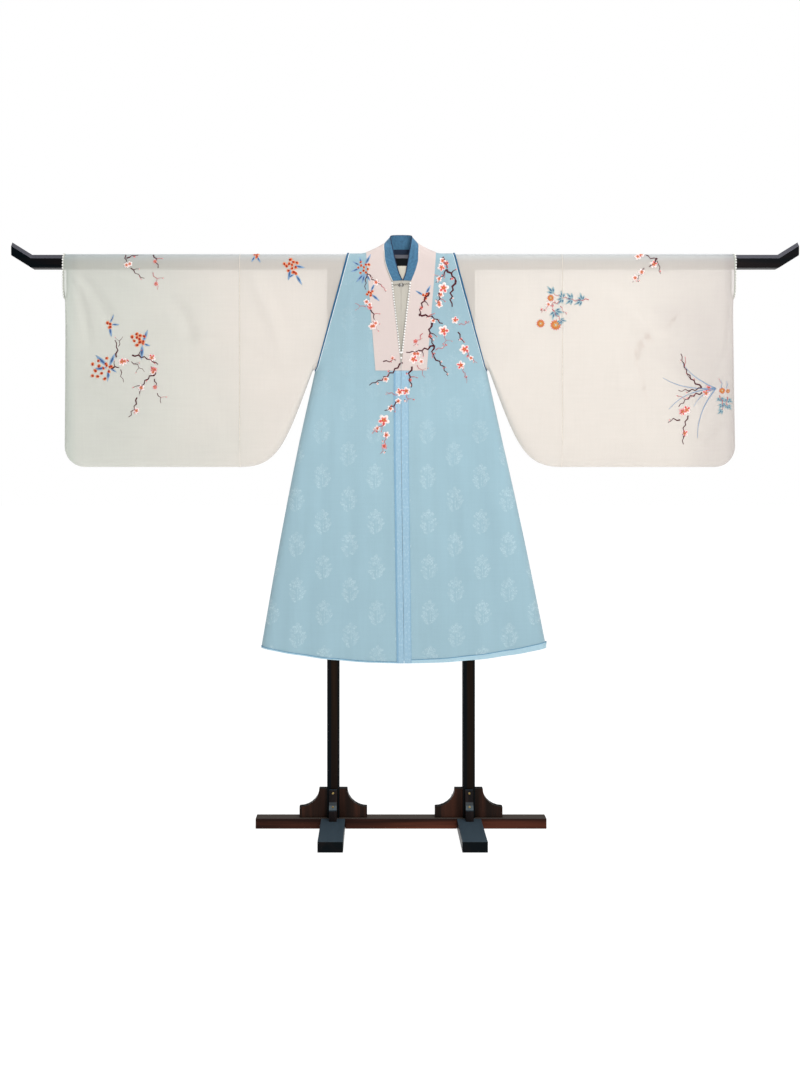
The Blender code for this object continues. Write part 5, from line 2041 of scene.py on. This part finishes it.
@dataclass
class Embroidery:
    """All sprays. Places are from the stand's middle, heights are on the cut cloth."""

    shop: Shop
    vest: OverVest
    sleeves: dict[int, Sleeve]
    vest_motifs: tuple[Motif, ...] = (
        BerryCluster(
            (-0.106, 1.562), 9, 0.019, 0.0042, ((150, 0.024), (200, 0.028), (55, 0.030), (110, 0.022)), 3
        ),
        BerryCluster((-0.100, 1.548), 2, 0.008, 0.0040, ((255, 0.030), (228, 0.034), (300, 0.026)), 43),
        Branch((-0.094, 1.544), (-0.056, 1.514), 0.0030, 0.10, 1, 2, 1, 0.0070, 4),
        Branch((-0.056, 1.514), (-0.042, 1.494), 0.0022, 0.10, 0, 1, 0, 0.0060, 44, Thread.TWIG),
        Branch((-0.094, 1.545), (-0.098, 1.500), 0.0028, 0.16, 0, 0, 0, 0.005, 6),
        BerryCluster((-0.086, 1.490), 5, 0.010, 0.0042, ((65, 0.026), (-40, 0.030)), 5),
        Branch((-0.094, 1.470), (-0.086, 1.448), 0.0020, 0.10, 3, 1, 0, 0.0068, 8, Thread.TWIG),
        Branch((-0.098, 1.452), (-0.128, 1.462), 0.0018, 0.10, 0, 0, 1, 0.0050, 45, Thread.TWIG),
        Branch((-0.085, 1.444), (-0.074, 1.416), 0.0034, 0.22, 0, 0, 1, 0.0068, 9),
        Branch((-0.078, 1.412), (-0.068, 1.394), 0.0020, 0.22, 3, 1, 2, 0.0070, 46, Thread.TWIG),
        Branch((-0.050, 1.300), (-0.014, 1.304), 0.0028, 0.10, 1, 2, 1, 0.0066, 10),
        Branch((0.004, 1.297), (-0.088, 1.234), 0.0042, 0.10, 0, 2, 1, 0.0082, 12),
        Branch((0.116, 1.590), (0.128, 1.560), 0.0058, 0.10, 2, 1, 1, 0.0085, 21),
        Branch((0.126, 1.556), (0.152, 1.524), 0.0060, 0.10, 0, 1, 1, 0.0095, 47),
        Branch((0.152, 1.526), (0.142, 1.452), 0.0056, 0.20, 0, 1, 0, 0.0060, 22),
        Branch((0.126, 1.556), (0.096, 1.520), 0.0030, 0.12, 1, 2, 2, 0.0070, 23),
        Branch((0.106, 1.492), (0.100, 1.460), 0.0044, 0.14, 1, 1, 1, 0.0070, 24),
        BerryCluster((0.066, 1.482), 4, 0.010, 0.0046, ((150, 0.026), (62, 0.030)), 25),
        Branch((0.078, 1.492), (0.050, 1.426), 0.0050, 0.12, 1, 2, 1, 0.0058, 26),
        Branch((0.050, 1.432), (0.116, 1.406), 0.0050, 0.12, 1, 2, 1, 0.0062, 27),
        Branch((0.086, 1.408), (0.092, 1.344), 0.0050, 0.30, 1, 1, 1, 0.0070, 28),
        Branch((0.092, 1.345), (0.092, 1.310), 0.0048, 0.30, 0, 1, 1, 0.0072, 29),
        Branch((0.092, 1.312), (0.130, 1.260), 0.0036, 0.16, 0, 3, 1, 0.0072, 48),
        Branch((0.090, 1.344), (0.014, 1.326), 0.0046, 0.14, 1, 1, 1, 0.0070, 30),
        Branch((0.096, 1.332), (0.130, 1.346), 0.0020, 0.10, 0, 2, 1, 0.0066, 49, Thread.TWIG),
        Branch((0.158, 1.382), (0.176, 1.352), 0.0034, 0.14, 0, 2, 1, 0.0085, 31),
        Branch((0.180, 1.330), (0.212, 1.296), 0.0022, 0.10, 1, 2, 1, 0.0066, 32, Thread.TWIG),
        Branch((0.160, 1.402), (0.190, 1.407), 0.0018, 0.08, 0, 1, 1, 0.0060, 33, Thread.TWIG),
        Branch((0.060, 1.378), (0.034, 1.344), 0.0024, 0.08, 1, 2, 0, 0.0066, 34, Thread.TWIG),
        Branch((0.122, 1.375), (0.118, 1.344), 0.0018, 0.16, 0, 1, 1, 0.0060, 35, Thread.TWIG),
        Branch((0.164, 1.300), (0.182, 1.240), 0.0018, 0.10, 0, 1, 1, 0.0070, 36, Thread.TWIG),
        Branch((0.030, 1.286), (0.028, 1.228), 0.0046, 0.22, 1, 2, 1, 0.0060, 37),
        Branch((0.044, 1.290), (0.066, 1.256), 0.0018, 0.10, 0, 0, 1, 0.0060, 50, Thread.TWIG),
        Branch((-0.006, 1.190), (-0.046, 1.164), 0.0038, 0.12, 1, 1, 1, 0.0066, 38),
        Branch((-0.046, 1.126), (-0.080, 1.100), 0.0026, 0.12, 1, 3, 2, 0.0070, 39, Thread.TWIG),
        Branch((-0.042, 1.104), (-0.058, 1.044), 0.0024, 0.16, 1, 2, 1, 0.0080, 40, Thread.TWIG),
        Branch((0.016, 1.206), (0.016, 1.186), 0.0022, 0.16, 0, 1, 1, 0.0095, 41, Thread.TWIG),
        Branch((-0.012, 1.206), (-0.042, 1.216), 0.0018, 0.10, 0, 0, 1, 0.0060, 42, Thread.TWIG),
    )
    vest_blooms: tuple[Triple, ...] = (
        (0.118, 1.505, 0.0130),
        (0.112, 1.562, 0.0095),
        (0.118, 1.386, 0.0130),
        (0.110, 1.486, 0.0080),
        (0.106, 1.458, 0.0085),
        (0.176, 1.334, 0.0120),
        (0.150, 1.415, 0.0090),
        (0.166, 1.290, 0.0105),
        (0.034, 1.306, 0.0110),
        (0.046, 1.322, 0.0080),
        (0.056, 1.300, 0.0070),
        (-0.004, 1.215, 0.0100),
        (0.014, 1.218, 0.0100),
        (-0.008, 1.190, 0.0075),
        (-0.048, 1.137, 0.0140),
        (-0.041, 1.096, 0.0085),
        (-0.043, 1.251, 0.0080),
    )
    left_motifs: tuple[Motif, ...] = (
        Branch((-0.768, 1.600), (-0.764, 1.576), 0.0032, 0.16, 0, 0, 0, 0.0070, 51),
        Branch((-0.764, 1.588), (-0.732, 1.600), 0.0034, 0.16, 0, 1, 0, 0.0070, 65),
        Branch((-0.758, 1.572), (-0.762, 1.562), 0.0020, 0.10, 2, 0, 0, 0.0060, 66, Thread.TWIG),
        Branch((-0.752, 1.560), (-0.714, 1.532), 0.0026, 0.10, 0, 0, 2, 0.0060, 67),
        Branch((-0.690, 1.600), (-0.676, 1.560), 0.0034, 0.14, 1, 0, 1, 0.0060, 52),
        Branch((-0.690, 1.548), (-0.678, 1.500), 0.0020, 0.14, 1, 1, 1, 0.0070, 68, Thread.TWIG),
        BerryCluster((-0.404, 1.598), 4, 0.010, 0.0050, ((-60, 0.022), (-120, 0.020)), 53),
        BerryCluster((-0.306, 1.568), 11, 0.021, 0.0052, ((-10, 0.030), (-100, 0.034)), 54),
        BerryCluster((-0.294, 1.545), 2, 0.006, 0.0046, ((-60, 0.034), (-150, 0.024)), 55),
        BerryCluster((-0.812, 1.404), 3, 0.010, 0.0055, ((66, 0.026), (-2, 0.024), (-80, 0.032)), 56),
        BerryCluster((-0.730, 1.362), 10, 0.020, 0.0056, (), 57),
        BerryCluster((-0.720, 1.350), 2, 0.008, 0.0050, ((68, 0.038), (-15, 0.020), (-92, 0.042)), 69),
        BerryCluster((-0.832, 1.281), 13, 0.034, 0.0055, (), 58),
        BerryCluster(
            (-0.813, 1.284),
            2,
            0.010,
            0.0050,
            ((137, 0.046), (66, 0.038), (188, 0.040), (-94, 0.036), (-32, 0.022)),
            70,
        ),
        Branch((-0.792, 1.312), (-0.796, 1.360), 0.0036, 0.16, 0, 0, 0, 0.0060, 59),
        Branch((-0.786, 1.342), (-0.774, 1.370), 0.0016, 0.16, 0, 0, 1, 0.0060, 71),
        Branch((-0.806, 1.280), (-0.784, 1.284), 0.0040, 0.30, 0, 0, 1, 0.0060, 60),
        Branch((-0.780, 1.278), (-0.772, 1.242), 0.0018, 0.16, 0, 0, 0, 0.0060, 72),
        Branch((-0.782, 1.296), (-0.758, 1.300), 0.0018, 0.10, 3, 1, 0, 0.0085, 73, Thread.TWIG),
        Branch((-0.748, 1.318), (-0.676, 1.292), 0.0038, 0.12, 1, 0, 2, 0.0085, 61),
        Branch((-0.750, 1.300), (-0.714, 1.272), 0.0018, 0.10, 0, 0, 2, 0.0060, 64),
        Branch((-0.696, 1.286), (-0.682, 1.268), 0.0026, 0.10, 3, 0, 0, 0.0075, 74, Thread.TWIG),
        Branch((-0.682, 1.268), (-0.728, 1.206), 0.0036, 0.26, 1, 0, 2, 0.0080, 62),
        Branch((-0.734, 1.200), (-0.758, 1.146), 0.0034, 0.14, 1, 0, 1, 0.0075, 75),
        Branch((-0.686, 1.252), (-0.680, 1.226), 0.0026, 0.14, 1, 0, 0, 0.0072, 63),
        Branch((-0.678, 1.212), (-0.668, 1.184), 0.0020, 0.14, 0, 0, 1, 0.0066, 76),
    )
    right_motifs: tuple[Motif, ...] = (
        LeafSpray(
            (0.522, 1.472), (0.424, 1.490), 7, 0.025, ((0.416, 1.477, 0.0100), (0.430, 1.402, 0.0160)), 71
        ),
        LeafSpray((0.420, 1.446), (0.452, 1.412), 4, 0.024, ((0.388, 1.406, 0.0125),), 72),
        Branch((0.440, 1.468), (0.390, 1.436), 0.0020, 0.12, 1, 4, 1, 0.0075, 78, Thread.TWIG),
        Branch((0.442, 1.454), (0.460, 1.430), 0.0018, 0.10, 0, 1, 0, 0.0065, 82, Thread.TWIG),
        Branch((0.682, 1.601), (0.712, 1.586), 0.0036, 0.40, 0, 0, 0, 0.0070, 74),
        Branch((0.712, 1.588), (0.690, 1.564), 0.0044, 0.26, 1, 1, 0, 0.0080, 83),
        Branch((0.712, 1.580), (0.722, 1.544), 0.0020, 0.12, 0, 1, 0, 0.0060, 84),
        Branch((0.676, 1.560), (0.644, 1.520), 0.0022, 0.12, 2, 1, 1, 0.0075, 75),
        Branch((0.656, 1.598), (0.678, 1.594), 0.0018, 0.12, 2, 1, 0, 0.0085, 85, Thread.TWIG),
        Reeds(
            (0.876, 1.226),
            (
                (0.116, 138, 0.016),
                (0.150, 163, 0.022),
                (0.142, 212, -0.028),
                (0.146, 257, -0.026),
                (0.080, 226, -0.014),
            ),
        ),
        Branch((0.836, 1.228), (0.778, 1.322), 0.0036, 0.22, 0, 3, 2, 0.0062, 76),
        Branch((0.836, 1.227), (0.771, 1.220), 0.0028, 0.08, 0, 0, 1, 0.0070, 77),
        Branch((0.838, 1.214), (0.772, 1.174), 0.0034, 0.20, 0, 1, 2, 0.0078, 86),
        Branch((0.798, 1.150), (0.786, 1.070), 0.0030, 0.16, 1, 1, 0, 0.0085, 79),
        Branch((0.776, 1.138), (0.742, 1.130), 0.0030, 0.30, 0, 1, 0, 0.0066, 87),
        Branch((0.864, 1.221), (0.846, 1.219), 0.0016, 0.05, 2, 0, 0, 0.0105, 88, Thread.TWIG),
        Branch((0.790, 1.164), (0.782, 1.152), 0.0014, 0.05, 2, 1, 0, 0.0105, 95, Thread.TWIG),
        Branch((0.892, 1.226), (0.890, 1.250), 0.0018, 0.10, 0, 0, 1, 0.0050, 89, Thread.REED),
        Branch((0.906, 1.226), (0.906, 1.246), 0.0018, 0.10, 0, 0, 0, 0.0050, 90, Thread.REED),
        LeafSpray(
            (0.886, 1.206), (0.894, 1.166), 5, 0.018, ((0.893, 1.219, 0.0090), (0.909, 1.218, 0.0060)), 81
        ),
        LeafSpray((0.908, 1.202), (0.908, 1.170), 4, 0.016, (), 94),
    )
    back_motifs: tuple[Motif, ...] = (
        Branch((0.700, 1.398), (0.664, 1.300), 0.0020, 0.12, 3, 2, 2, 0.0110, 91, Thread.TWIG),
        Branch((0.664, 1.300), (0.690, 1.180), 0.0020, 0.12, 1, 2, 3, 0.0080, 92, Thread.TWIG),
        Branch((0.736, 1.380), (0.786, 1.440), 0.0018, 0.12, 1, 2, 2, 0.0080, 93, Thread.TWIG),
    )

    def sew(
        self, name: str, ground: Ground, motifs: Sequence[Motif], heart: Thread = Thread.HEART
    ) -> Needle:
        """Stitches sprays onto a ground.

        Args:
            name: The piece's name.
            ground: The cloth that they lie on.
            motifs: The sprays.
            heart: The thread of the blossoms' hearts.

        Returns:
            The needle, which has stitched them.
        """
        needle = Needle(name, ground, heart)
        for motif in motifs:
            motif.stitch(needle)
        return needle

    def build(self) -> None:
        """Stitches every spray."""
        needle = self.sew("embroidery_vest", self.vest.ground, self.vest_motifs)
        chance = random.Random(5)
        for x, up, radius in self.vest_blooms:
            needle.blossom((x, up), radius, chance.uniform(0.0, math.tau))
        needle.finish(self.shop)
        fronts = {-1: self.left_motifs, 1: self.right_motifs}
        for hand, word in HANDS:
            name = f"embroidery_sleeve_{word}"
            self.sew(name, self.sleeves[hand].ground, fronts[hand], Thread.COPPER).finish(self.shop)
        self.sew("embroidery_sleeve_right_back", self.right_back, self.back_motifs).finish(self.shop)

    def right_back(self, x: float, up: float, lift: float) -> Vector:
        """A spot on the back of the right sleeve."""
        return self.sleeves[1].ground(x, up, lift, 1)


@dataclass
class Beads:
    """The pearls along the neck opening and the sleeve openings, and the two fasteners."""

    form: HangingForm
    shop: Shop
    vest: OverVest
    sleeves: dict[int, Sleeve]
    neck_radius: Pair = (0.0024, 0.0028)
    neck_pitch: float = 0.0074
    neck_end: float = 0.050
    band_lines: Pair = (0.0062, 0.0086)
    cuff_radius: float = 0.0023
    cuff_pitch: float = 0.0078
    top: float = 1.5180
    knot_height: float = 1.5130
    knot_size: Pair = (0.0064, 0.0034)
    lace_ends: Pair = (-0.0225, 0.0245)
    clasp_heights: Pair = (1.3244, 1.3101)
    clasp_radius: float = 0.0030
    guard: Spot = (0.0046, 0.006)
    guard_radius: float = 0.0019
    overhang: float = 0.0014
    braid_radius: float = 0.0016
    knot_out: float = 0.0026
    knot_wave: float = 0.0006
    lace_waves: int = 9
    lace_wave: float = 0.0012
    lace_slope: float = 0.0030
    tail: Pair = (1.3050, 1.2760)
    tail_radius: float = 0.0012
    tail_pitch: float = 0.0034
    pearl: Hard = Hard("pearl", srgb(252, 251, 248), srgb(236, 235, 232), 0.2)
    # A grey braid under the pearls, whose grey also paints the shadow in the gaps between them.
    braid_with_painted_shadow: Hard = Hard("bead braid", srgb(146, 147, 144), srgb(164, 163, 158), 0.8, coat=0.0)
    dark: Hard = Hard("knot cord", srgb(40, 44, 58), srgb(58, 62, 78), 0.6, coat=0.0)

    def string(self, name: str, beads: Sequence[tuple[Vector, float]], *nodes: str) -> None:
        """Joins pearls of given places and radii into one piece, which stands for some solids."""
        bpy.ops.object.select_all(action="DESELECT")
        bpy.ops.mesh.primitive_uv_sphere_add(segments=10, ring_count=7, radius=1.0, location=(0, 0, 0))
        model = bpy.context.object
        work = bmesh.new()
        for spot, radius in beads:
            added = self.shop.copy_into(work, model)
            bmesh.ops.scale(work, verts=added, vec=(radius, radius, radius))
            bmesh.ops.translate(work, verts=added, vec=spot)
        bpy.data.objects.remove(model)
        self.shop.fit(self.shop.mesh_object(name, work, self.pearl), "pearl_trim", *nodes)

    def build_neck(self, hand: int, word: str) -> None:
        """The pearls down one edge of the opening, on a grey braid that also paints the shadow between
        them, with two sewn lines beside it.

        Args:
            hand: -1 for the left edge and 1 for the right.
            word: The edge's name.
        """
        index = 0 if hand < 0 else 1
        radius = self.neck_radius[index]
        heights = []
        up = self.top
        while up > self.vest.underarm + self.neck_end:
            heights.append(up)
            up -= self.neck_pitch
        places = [(hand * (self.vest.inner_edge(up) - self.overhang), up) for up in heights]
        beads = [(self.vest.ground(x, up, radius * 0.5), radius) for x, up in places]
        self.string(f"pearls_neck_{word}", beads)
        braid_with_painted_shadow = [self.vest.ground(x, up, 0.0001) for x, up in places]
        self.shop.line(f"neck_braid_{word}", [braid_with_painted_shadow], self.braid_radius, self.braid_with_painted_shadow, "pearl_trim")
        cord = Hard("band line", srgb(226, 216, 208), srgb(216, 205, 197), 0.8, coat=0.0)
        lines = []
        for away in self.band_lines:
            lines.append([self.vest.ground(x + hand * away, up, -0.0001) for x, up in places])
        self.shop.line(f"band_line_{word}", lines, 0.0003, cord, "band_cream")

    def build_cuff(self, sleeve: Sleeve, word: str) -> None:
        """The pearls round one sleeve opening."""
        x = sleeve.cuff_place + sleeve.cuff_depth * 0.9
        ring = sleeve.ring(x, (x, sleeve.cuff_bottom), sleeve.cuff_wall[1], self.form.closing)
        around = [point.place for point in ring]
        beads = []
        due = 0.0
        for first, second in zip(around, around[1:] + around[:1]):
            length = (second - first).length
            while due < length:
                beads.append((first.lerp(second, due / length), self.cuff_radius))
                due += self.cuff_pitch
            due -= length
        self.string(f"pearls_cuff_{word}", beads)

    def build_knot(self) -> None:
        """The corded knot at the throat, with a pearl in its middle and a line of lace behind it, which
        also paints the shadow under the collar's foot.
        """
        centre = Vector((self.form.middle, -(self.form.hang + self.knot_out), self.knot_height))
        width, height = self.knot_size
        loops = []
        for turn in spread(0.0, math.tau, 32):
            lift = -self.knot_wave * math.cos(turn)
            loops.append(centre + Vector((width * math.sin(turn), lift, height * math.sin(2 * turn))))
        self.shop.line("throat_knot", [loops], 0.0009, self.dark, "pearl_trim", "throat_clasp")
        lace = []
        for share in spread(0.0, 1.0, 60):
            wave = self.lace_wave * math.sin(math.tau * self.lace_waves * share) + self.lace_slope * share
            lace.append(centre + Vector((blend(*self.lace_ends, share), 0.0, wave)))
        # A grey-brown lace at the inner neckline, dark also as painted shadow under the collar's foot.
        trim = Hard("throat lace", srgb(126, 122, 112), srgb(150, 146, 134), 0.8, coat=0.0)
        self.shop.line("throat_lace", [lace], 0.0008, trim, "pearl_trim")
        self.string("throat_bead", [(centre + Vector((0.0, -self.knot_wave * 2, 0.0)), self.guard_radius)])

    def build_clasp(self) -> None:
        """Two large pearls where the fronts meet, and small ones below them to the band's edge."""
        beads = [(self.vest.ground(0.0, up, 0.0016), self.clasp_radius) for up in self.clasp_heights]
        up, low = self.tail
        while up > low:
            beads.append((self.vest.ground(0.0, up, 0.0005), self.tail_radius))
            up -= self.tail_pitch
        aside, above = self.guard
        for hand, _ in HANDS:
            place = self.vest.ground(hand * aside, self.clasp_heights[0] + above, 0.0006)
            beads.append((place, self.guard_radius))
        self.string("front_clasp_pearls", beads, "front_clasp")

    def build(self) -> None:
        """All the strings and both fasteners."""
        for hand, word in HANDS:
            self.build_neck(hand, word)
            self.build_cuff(self.sleeves[hand], word)
        self.build_knot()
        self.build_clasp()


@dataclass
class Stand:
    """The wooden stand, whose solids stay and get their wood."""

    shop: Shop
    screw_radius: float = 0.0030
    screw_heights: tuple[float, ...] = (0.1010, 0.0660)
    screw_turn: float = math.radians(20)
    brown_share: Pair = (0.28, 0.90)
    # The third colour of a wood is painted light on what faces up; the fourth is a painted highlight on
    # rounded edges.
    red_brown: Wood = Wood("red-brown wood", 0, srgb(37, 19, 14), srgb(96, 50, 35), srgb(78, 69, 63))
    bracket: Wood = Wood(
        "bracket wood", 2, srgb(32, 23, 19), srgb(80, 47, 35), srgb(22, 19, 18), srgb(30, 26, 24)
    )

    def build(self) -> None:
        """Sets each piece's wood, with the grain along it."""
        self.paint(Wood("rod wood", 0, painted_top_lighting=srgb(72, 72, 80), painted_edge_highlight=srgb(88, 88, 96)), "rod")
        self.paint(self.red_brown, "rail")
        for _, word in HANDS:
            self.paint(Wood("foot wood", 1, painted_top_lighting=srgb(63, 77, 87)), f"foot_{word}")
            low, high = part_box(f"post_{word}")
            strip = tuple(blend(low.x, high.x, share) for share in self.brown_share)
            self.paint(Wood(f"post wood {word}", 2, brown_strip=strip), f"post_{word}")
            tongue = Wood("tongue wood", 2, srgb(28, 25, 26), srgb(52, 42, 40))
            self.paint(tongue, f"bracket_{word}_front", f"bracket_{word}_rear")
            self.paint(self.bracket, f"bracket_{word}_outer", f"bracket_{word}_inner")
        self.build_screws()

    def head(self) -> bpy.types.Object:
        """Shapes one domed, slotted screw head at the origin.

        Returns:
            The head, which faces the front.
        """
        bpy.ops.object.select_all(action="DESELECT")
        bpy.ops.mesh.primitive_cylinder_add(vertices=16, radius=self.screw_radius, depth=self.screw_radius)
        head = bpy.context.object
        bpy.ops.object.mode_set(mode="EDIT")
        bpy.ops.mesh.select_mode(type="FACE")
        bpy.ops.mesh.select_all(action="DESELECT")
        work = bmesh.from_edit_mesh(head.data)
        for face in work.faces:
            face.select_set(face.normal.z > 0.9)
        bmesh.update_edit_mesh(head.data)
        bpy.ops.mesh.inset(thickness=self.screw_radius * 0.35)
        bpy.ops.transform.translate(value=(0.0, 0.0, self.screw_radius * 0.25))
        bpy.ops.mesh.inset(thickness=self.screw_radius * 0.30)
        bpy.ops.transform.resize(value=(1.0, 0.35, 1.0))
        cut = (0.0, 0.0, -self.screw_radius * 0.3)
        bpy.ops.mesh.extrude_region_move(TRANSFORM_OT_translate={"value": cut})
        bpy.ops.object.mode_set(mode="OBJECT")
        head.rotation_euler = (math.pi / 2, self.screw_turn, 0.0)
        bpy.ops.object.transform_apply(location=True, rotation=True, scale=True)
        return head

    def build_screws(self) -> None:
        """The brass screw heads on the tongues in front of the posts."""
        model = self.head()
        work = bmesh.new()
        for _, word in HANDS:
            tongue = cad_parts[f"bracket_{word}_front"]
            low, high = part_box(tongue.name)
            for height in self.screw_heights:
                start = Vector(((low.x + high.x) / 2, low.y - 0.1, height))
                found, place, _, _ = tongue.ray_cast(start, Vector((0.0, 1.0, 0.0)))
                if not found:
                    raise RuntimeError(f"no wood behind a screw of {tongue.name}")
                bmesh.ops.translate(work, verts=self.shop.copy_into(work, model), vec=place)
        bpy.data.objects.remove(model)
        brass = Hard("brass", srgb(186, 160, 96), srgb(128, 104, 62), 0.35, 0.85)
        self.shop.fit(self.shop.mesh_object("screw_heads", work, brass), None)

    def paint(self, wood: Wood, *names: str) -> None:
        """Gives solids their wood."""
        for name in names:
            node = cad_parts[name]
            node.data.materials.clear()
            node.data.materials.append(self.shop.dressed(wood))


class Lamp(NamedTuple):
    """One soft square light: where it hangs, the length of its edge and its power."""

    name: str
    place: Triple
    size: float
    power: float


@dataclass
class Studio:
    """A pale floor, soft light from in front and above, and the camera."""

    focal_pixels: float = 1142.9
    photo_size: tuple[int, int] = (800, 1067)
    vanishing: Pair = (377.0, 472.0)
    eye: Triple = (-0.0782, -3.2, 0.993)
    sensor: float = 36.0
    sky: tuple[Spot, Spot] = ((0.35, 0.24), (0.90, 0.50))
    floor_size: float = 60.0
    floor_drop: float = 0.0006
    floor_glow: float = 0.92
    chest: Triple = (0.0, 0.0, 1.1)
    lamps: tuple[Lamp, ...] = (
        Lamp("key", (0.9, -2.7, 2.4), 1.3, 44.0),
        Lamp("top", (0.2, -0.2, 3.4), 2.0, 28.0),
    )

    def add_camera(self) -> None:
        """The level camera, shifted as the photograph is framed."""
        width, height = self.photo_size
        data = bpy.data.cameras.new("camera")
        data.sensor_width = self.sensor
        data.lens = self.focal_pixels / height * self.sensor
        data.shift_x = (width / 2 - self.vanishing[0]) / height
        data.shift_y = (self.vanishing[1] - height / 2) / height
        camera = bpy.data.objects.new("camera", data)
        camera.location = self.eye
        camera.rotation_euler = (math.pi / 2, 0.0, 0.0)
        bpy.context.scene.collection.objects.link(camera)
        bpy.context.scene.camera = camera

    def add_light(self, lamp: Lamp) -> None:
        """One light, turned to the garment's chest."""
        data = bpy.data.lights.new(lamp.name, "AREA")
        data.size = lamp.size
        data.energy = lamp.power
        light = bpy.data.objects.new(lamp.name, data)
        light.location = lamp.place
        light.rotation_euler = (Vector(self.chest) - light.location).to_track_quat("-Z", "Y").to_euler()
        bpy.context.scene.collection.objects.link(light)

    def add_world(self) -> None:
        """White to look at. As light it is even round the sides and brighter overhead."""
        world = bpy.data.worlds.new("studio")
        bpy.context.scene.world = world
        graph = Graph(world, "Background")
        height = graph.axes(graph.coordinates("Generated"))[2]
        stops = [(place, (level, level, level)) for place, level in self.sky]
        light = graph.signal(graph.node("ShaderNodeValToRGB", {"stops": stops}, {0: height}))
        seen = graph.signal(graph.node("ShaderNodeLightPath"), "Is Camera Ray")
        graph.set(Color=graph.mix(seen, light, WHITE))

    def add_floor(self) -> None:
        """A wide pale floor."""
        bpy.ops.mesh.primitive_plane_add(size=self.floor_size, location=(0.0, 0.0, -self.floor_drop))
        floor = bpy.context.object
        floor.name = "floor"
        graph = Graph(bpy.data.materials.new("pale floor"))
        mottle = graph.noise(graph.coordinates("Object"), 3.0, 2.0)
        graph.set(Base_Color=graph.mix(mottle, srgb(150, 150, 150), srgb(156, 156, 155)), Roughness=0.9)
        graph.set(Emission_Color=WHITE, Emission_Strength=self.floor_glow)
        floor.data.materials.append(graph.owner)

    def build(self) -> None:
        """Camera, lights and floor."""
        bpy.context.scene.view_settings.view_transform = "Standard"
        self.add_camera()
        self.add_world()
        self.add_floor()
        for lamp in self.lamps:
            self.add_light(lamp)


SLEEVE_CREASES: dict[int, tuple[Crease, ...]] = {
    -1: (
        Crease((-0.640, 1.475), (-0.580, 1.355), 0.030, -0.0085, 0.010),
        Crease((-0.600, 1.372), (-0.500, 1.356), 0.016, -0.0050, 0.006),
        Crease((-0.560, 1.330), (-0.450, 1.300), 0.020, 0.0034, 0.006),
        Crease((-0.905, 1.560), (-0.800, 1.400), 0.024, -0.0070, 0.006),
        Crease((-0.900, 1.500), (-0.868, 1.360), 0.020, -0.0056, 0.004),
        Crease((-0.850, 1.570), (-0.690, 1.480), 0.024, 0.0044, 0.008),
        Crease((-0.420, 1.540), (-0.330, 1.330), 0.034, 0.0060, 0.010),
        Crease((-0.440, 1.340), (-0.330, 1.260), 0.018, -0.0040, 0.005),
        Crease((-0.880, 1.260), (-0.720, 1.180), 0.024, 0.0040, 0.006),
        Crease((-0.860, 1.120), (-0.740, 1.080), 0.022, -0.0046, -0.004),
        Crease((-0.700, 1.150), (-0.560, 1.090), 0.026, 0.0044, -0.006),
        Crease((-0.520, 1.220), (-0.470, 1.060), 0.026, -0.0040, 0.006),
    ),
    1: (
        Crease((0.900, 1.120), (0.820, 1.070), 0.020, -0.0075, 0.005),
        Crease((0.918, 1.500), (0.905, 1.300), 0.020, -0.0060, 0.004),
        Crease((0.900, 1.310), (0.830, 1.180), 0.026, -0.0050, 0.006),
        Crease((0.560, 1.500), (0.720, 1.360), 0.034, 0.0044, 0.010),
        Crease((0.650, 1.420), (0.600, 1.220), 0.030, -0.0032, -0.008),
        Crease((0.330, 1.520), (0.300, 1.300), 0.026, 0.0038, 0.004),
        Crease((0.620, 1.180), (0.480, 1.090), 0.030, 0.0044, -0.006),
        Crease((0.780, 1.250), (0.840, 1.120), 0.024, 0.0040, 0.006),
        Crease((0.520, 1.330), (0.420, 1.240), 0.024, -0.0036, 0.005),
    ),
}
# Painted shade of each sleeve: the left one greyer and reaching further in, the right one only near its
# end.
SLEEVE_PAINTED_SHADE = {
    -1: PaintedSleeveShade(srgb(222, 227, 218), (0.30, 0.85)),
    1: PaintedSleeveShade(srgb(222, 214, 209), (0.66, 0.93)),
}


def main() -> None:
    """Builds the outfit and the stand in order."""
    logging.basicConfig(level=logging.INFO, format="%(name)s %(message)s")
    for chosen in list(bpy.context.selected_objects):
        chosen.select_set(False)
    low_left, high_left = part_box("post_left")
    low_right, high_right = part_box("post_right")
    middle = (low_left.x + high_left.x + low_right.x + high_right.x) / 4
    form = HangingForm(middle=middle)
    shop = Shop()
    Studio().build()
    Stand(shop).build()
    vest = OverVest(form, shop)
    vest.build()
    Blouse(form, shop, vest).build()
    sleeves: dict[int, Sleeve] = {}
    for hand, word in HANDS:
        cream = Cloth(
            f"sleeve cream {word}",
            srgb(244, 237, 229),
            sheen=0.15,
            cover=0.46,
            blotch=0.03,
            painted_shade=SLEEVE_PAINTED_SHADE[hand],
        )
        edge = Cloth("cuff grey", srgb(180, 183, 173), roughness=0.6, thread=0.001)
        sleeves[hand] = Sleeve(form, shop, hand, word, SLEEVE_CREASES[hand], cream, edge)
        sleeves[hand].build()
    Collar(form, shop).build()
    Embroidery(shop, vest, sleeves).build()
    Beads(form, shop, vest, sleeves).build()


if __name__ == "__main__":
    main()
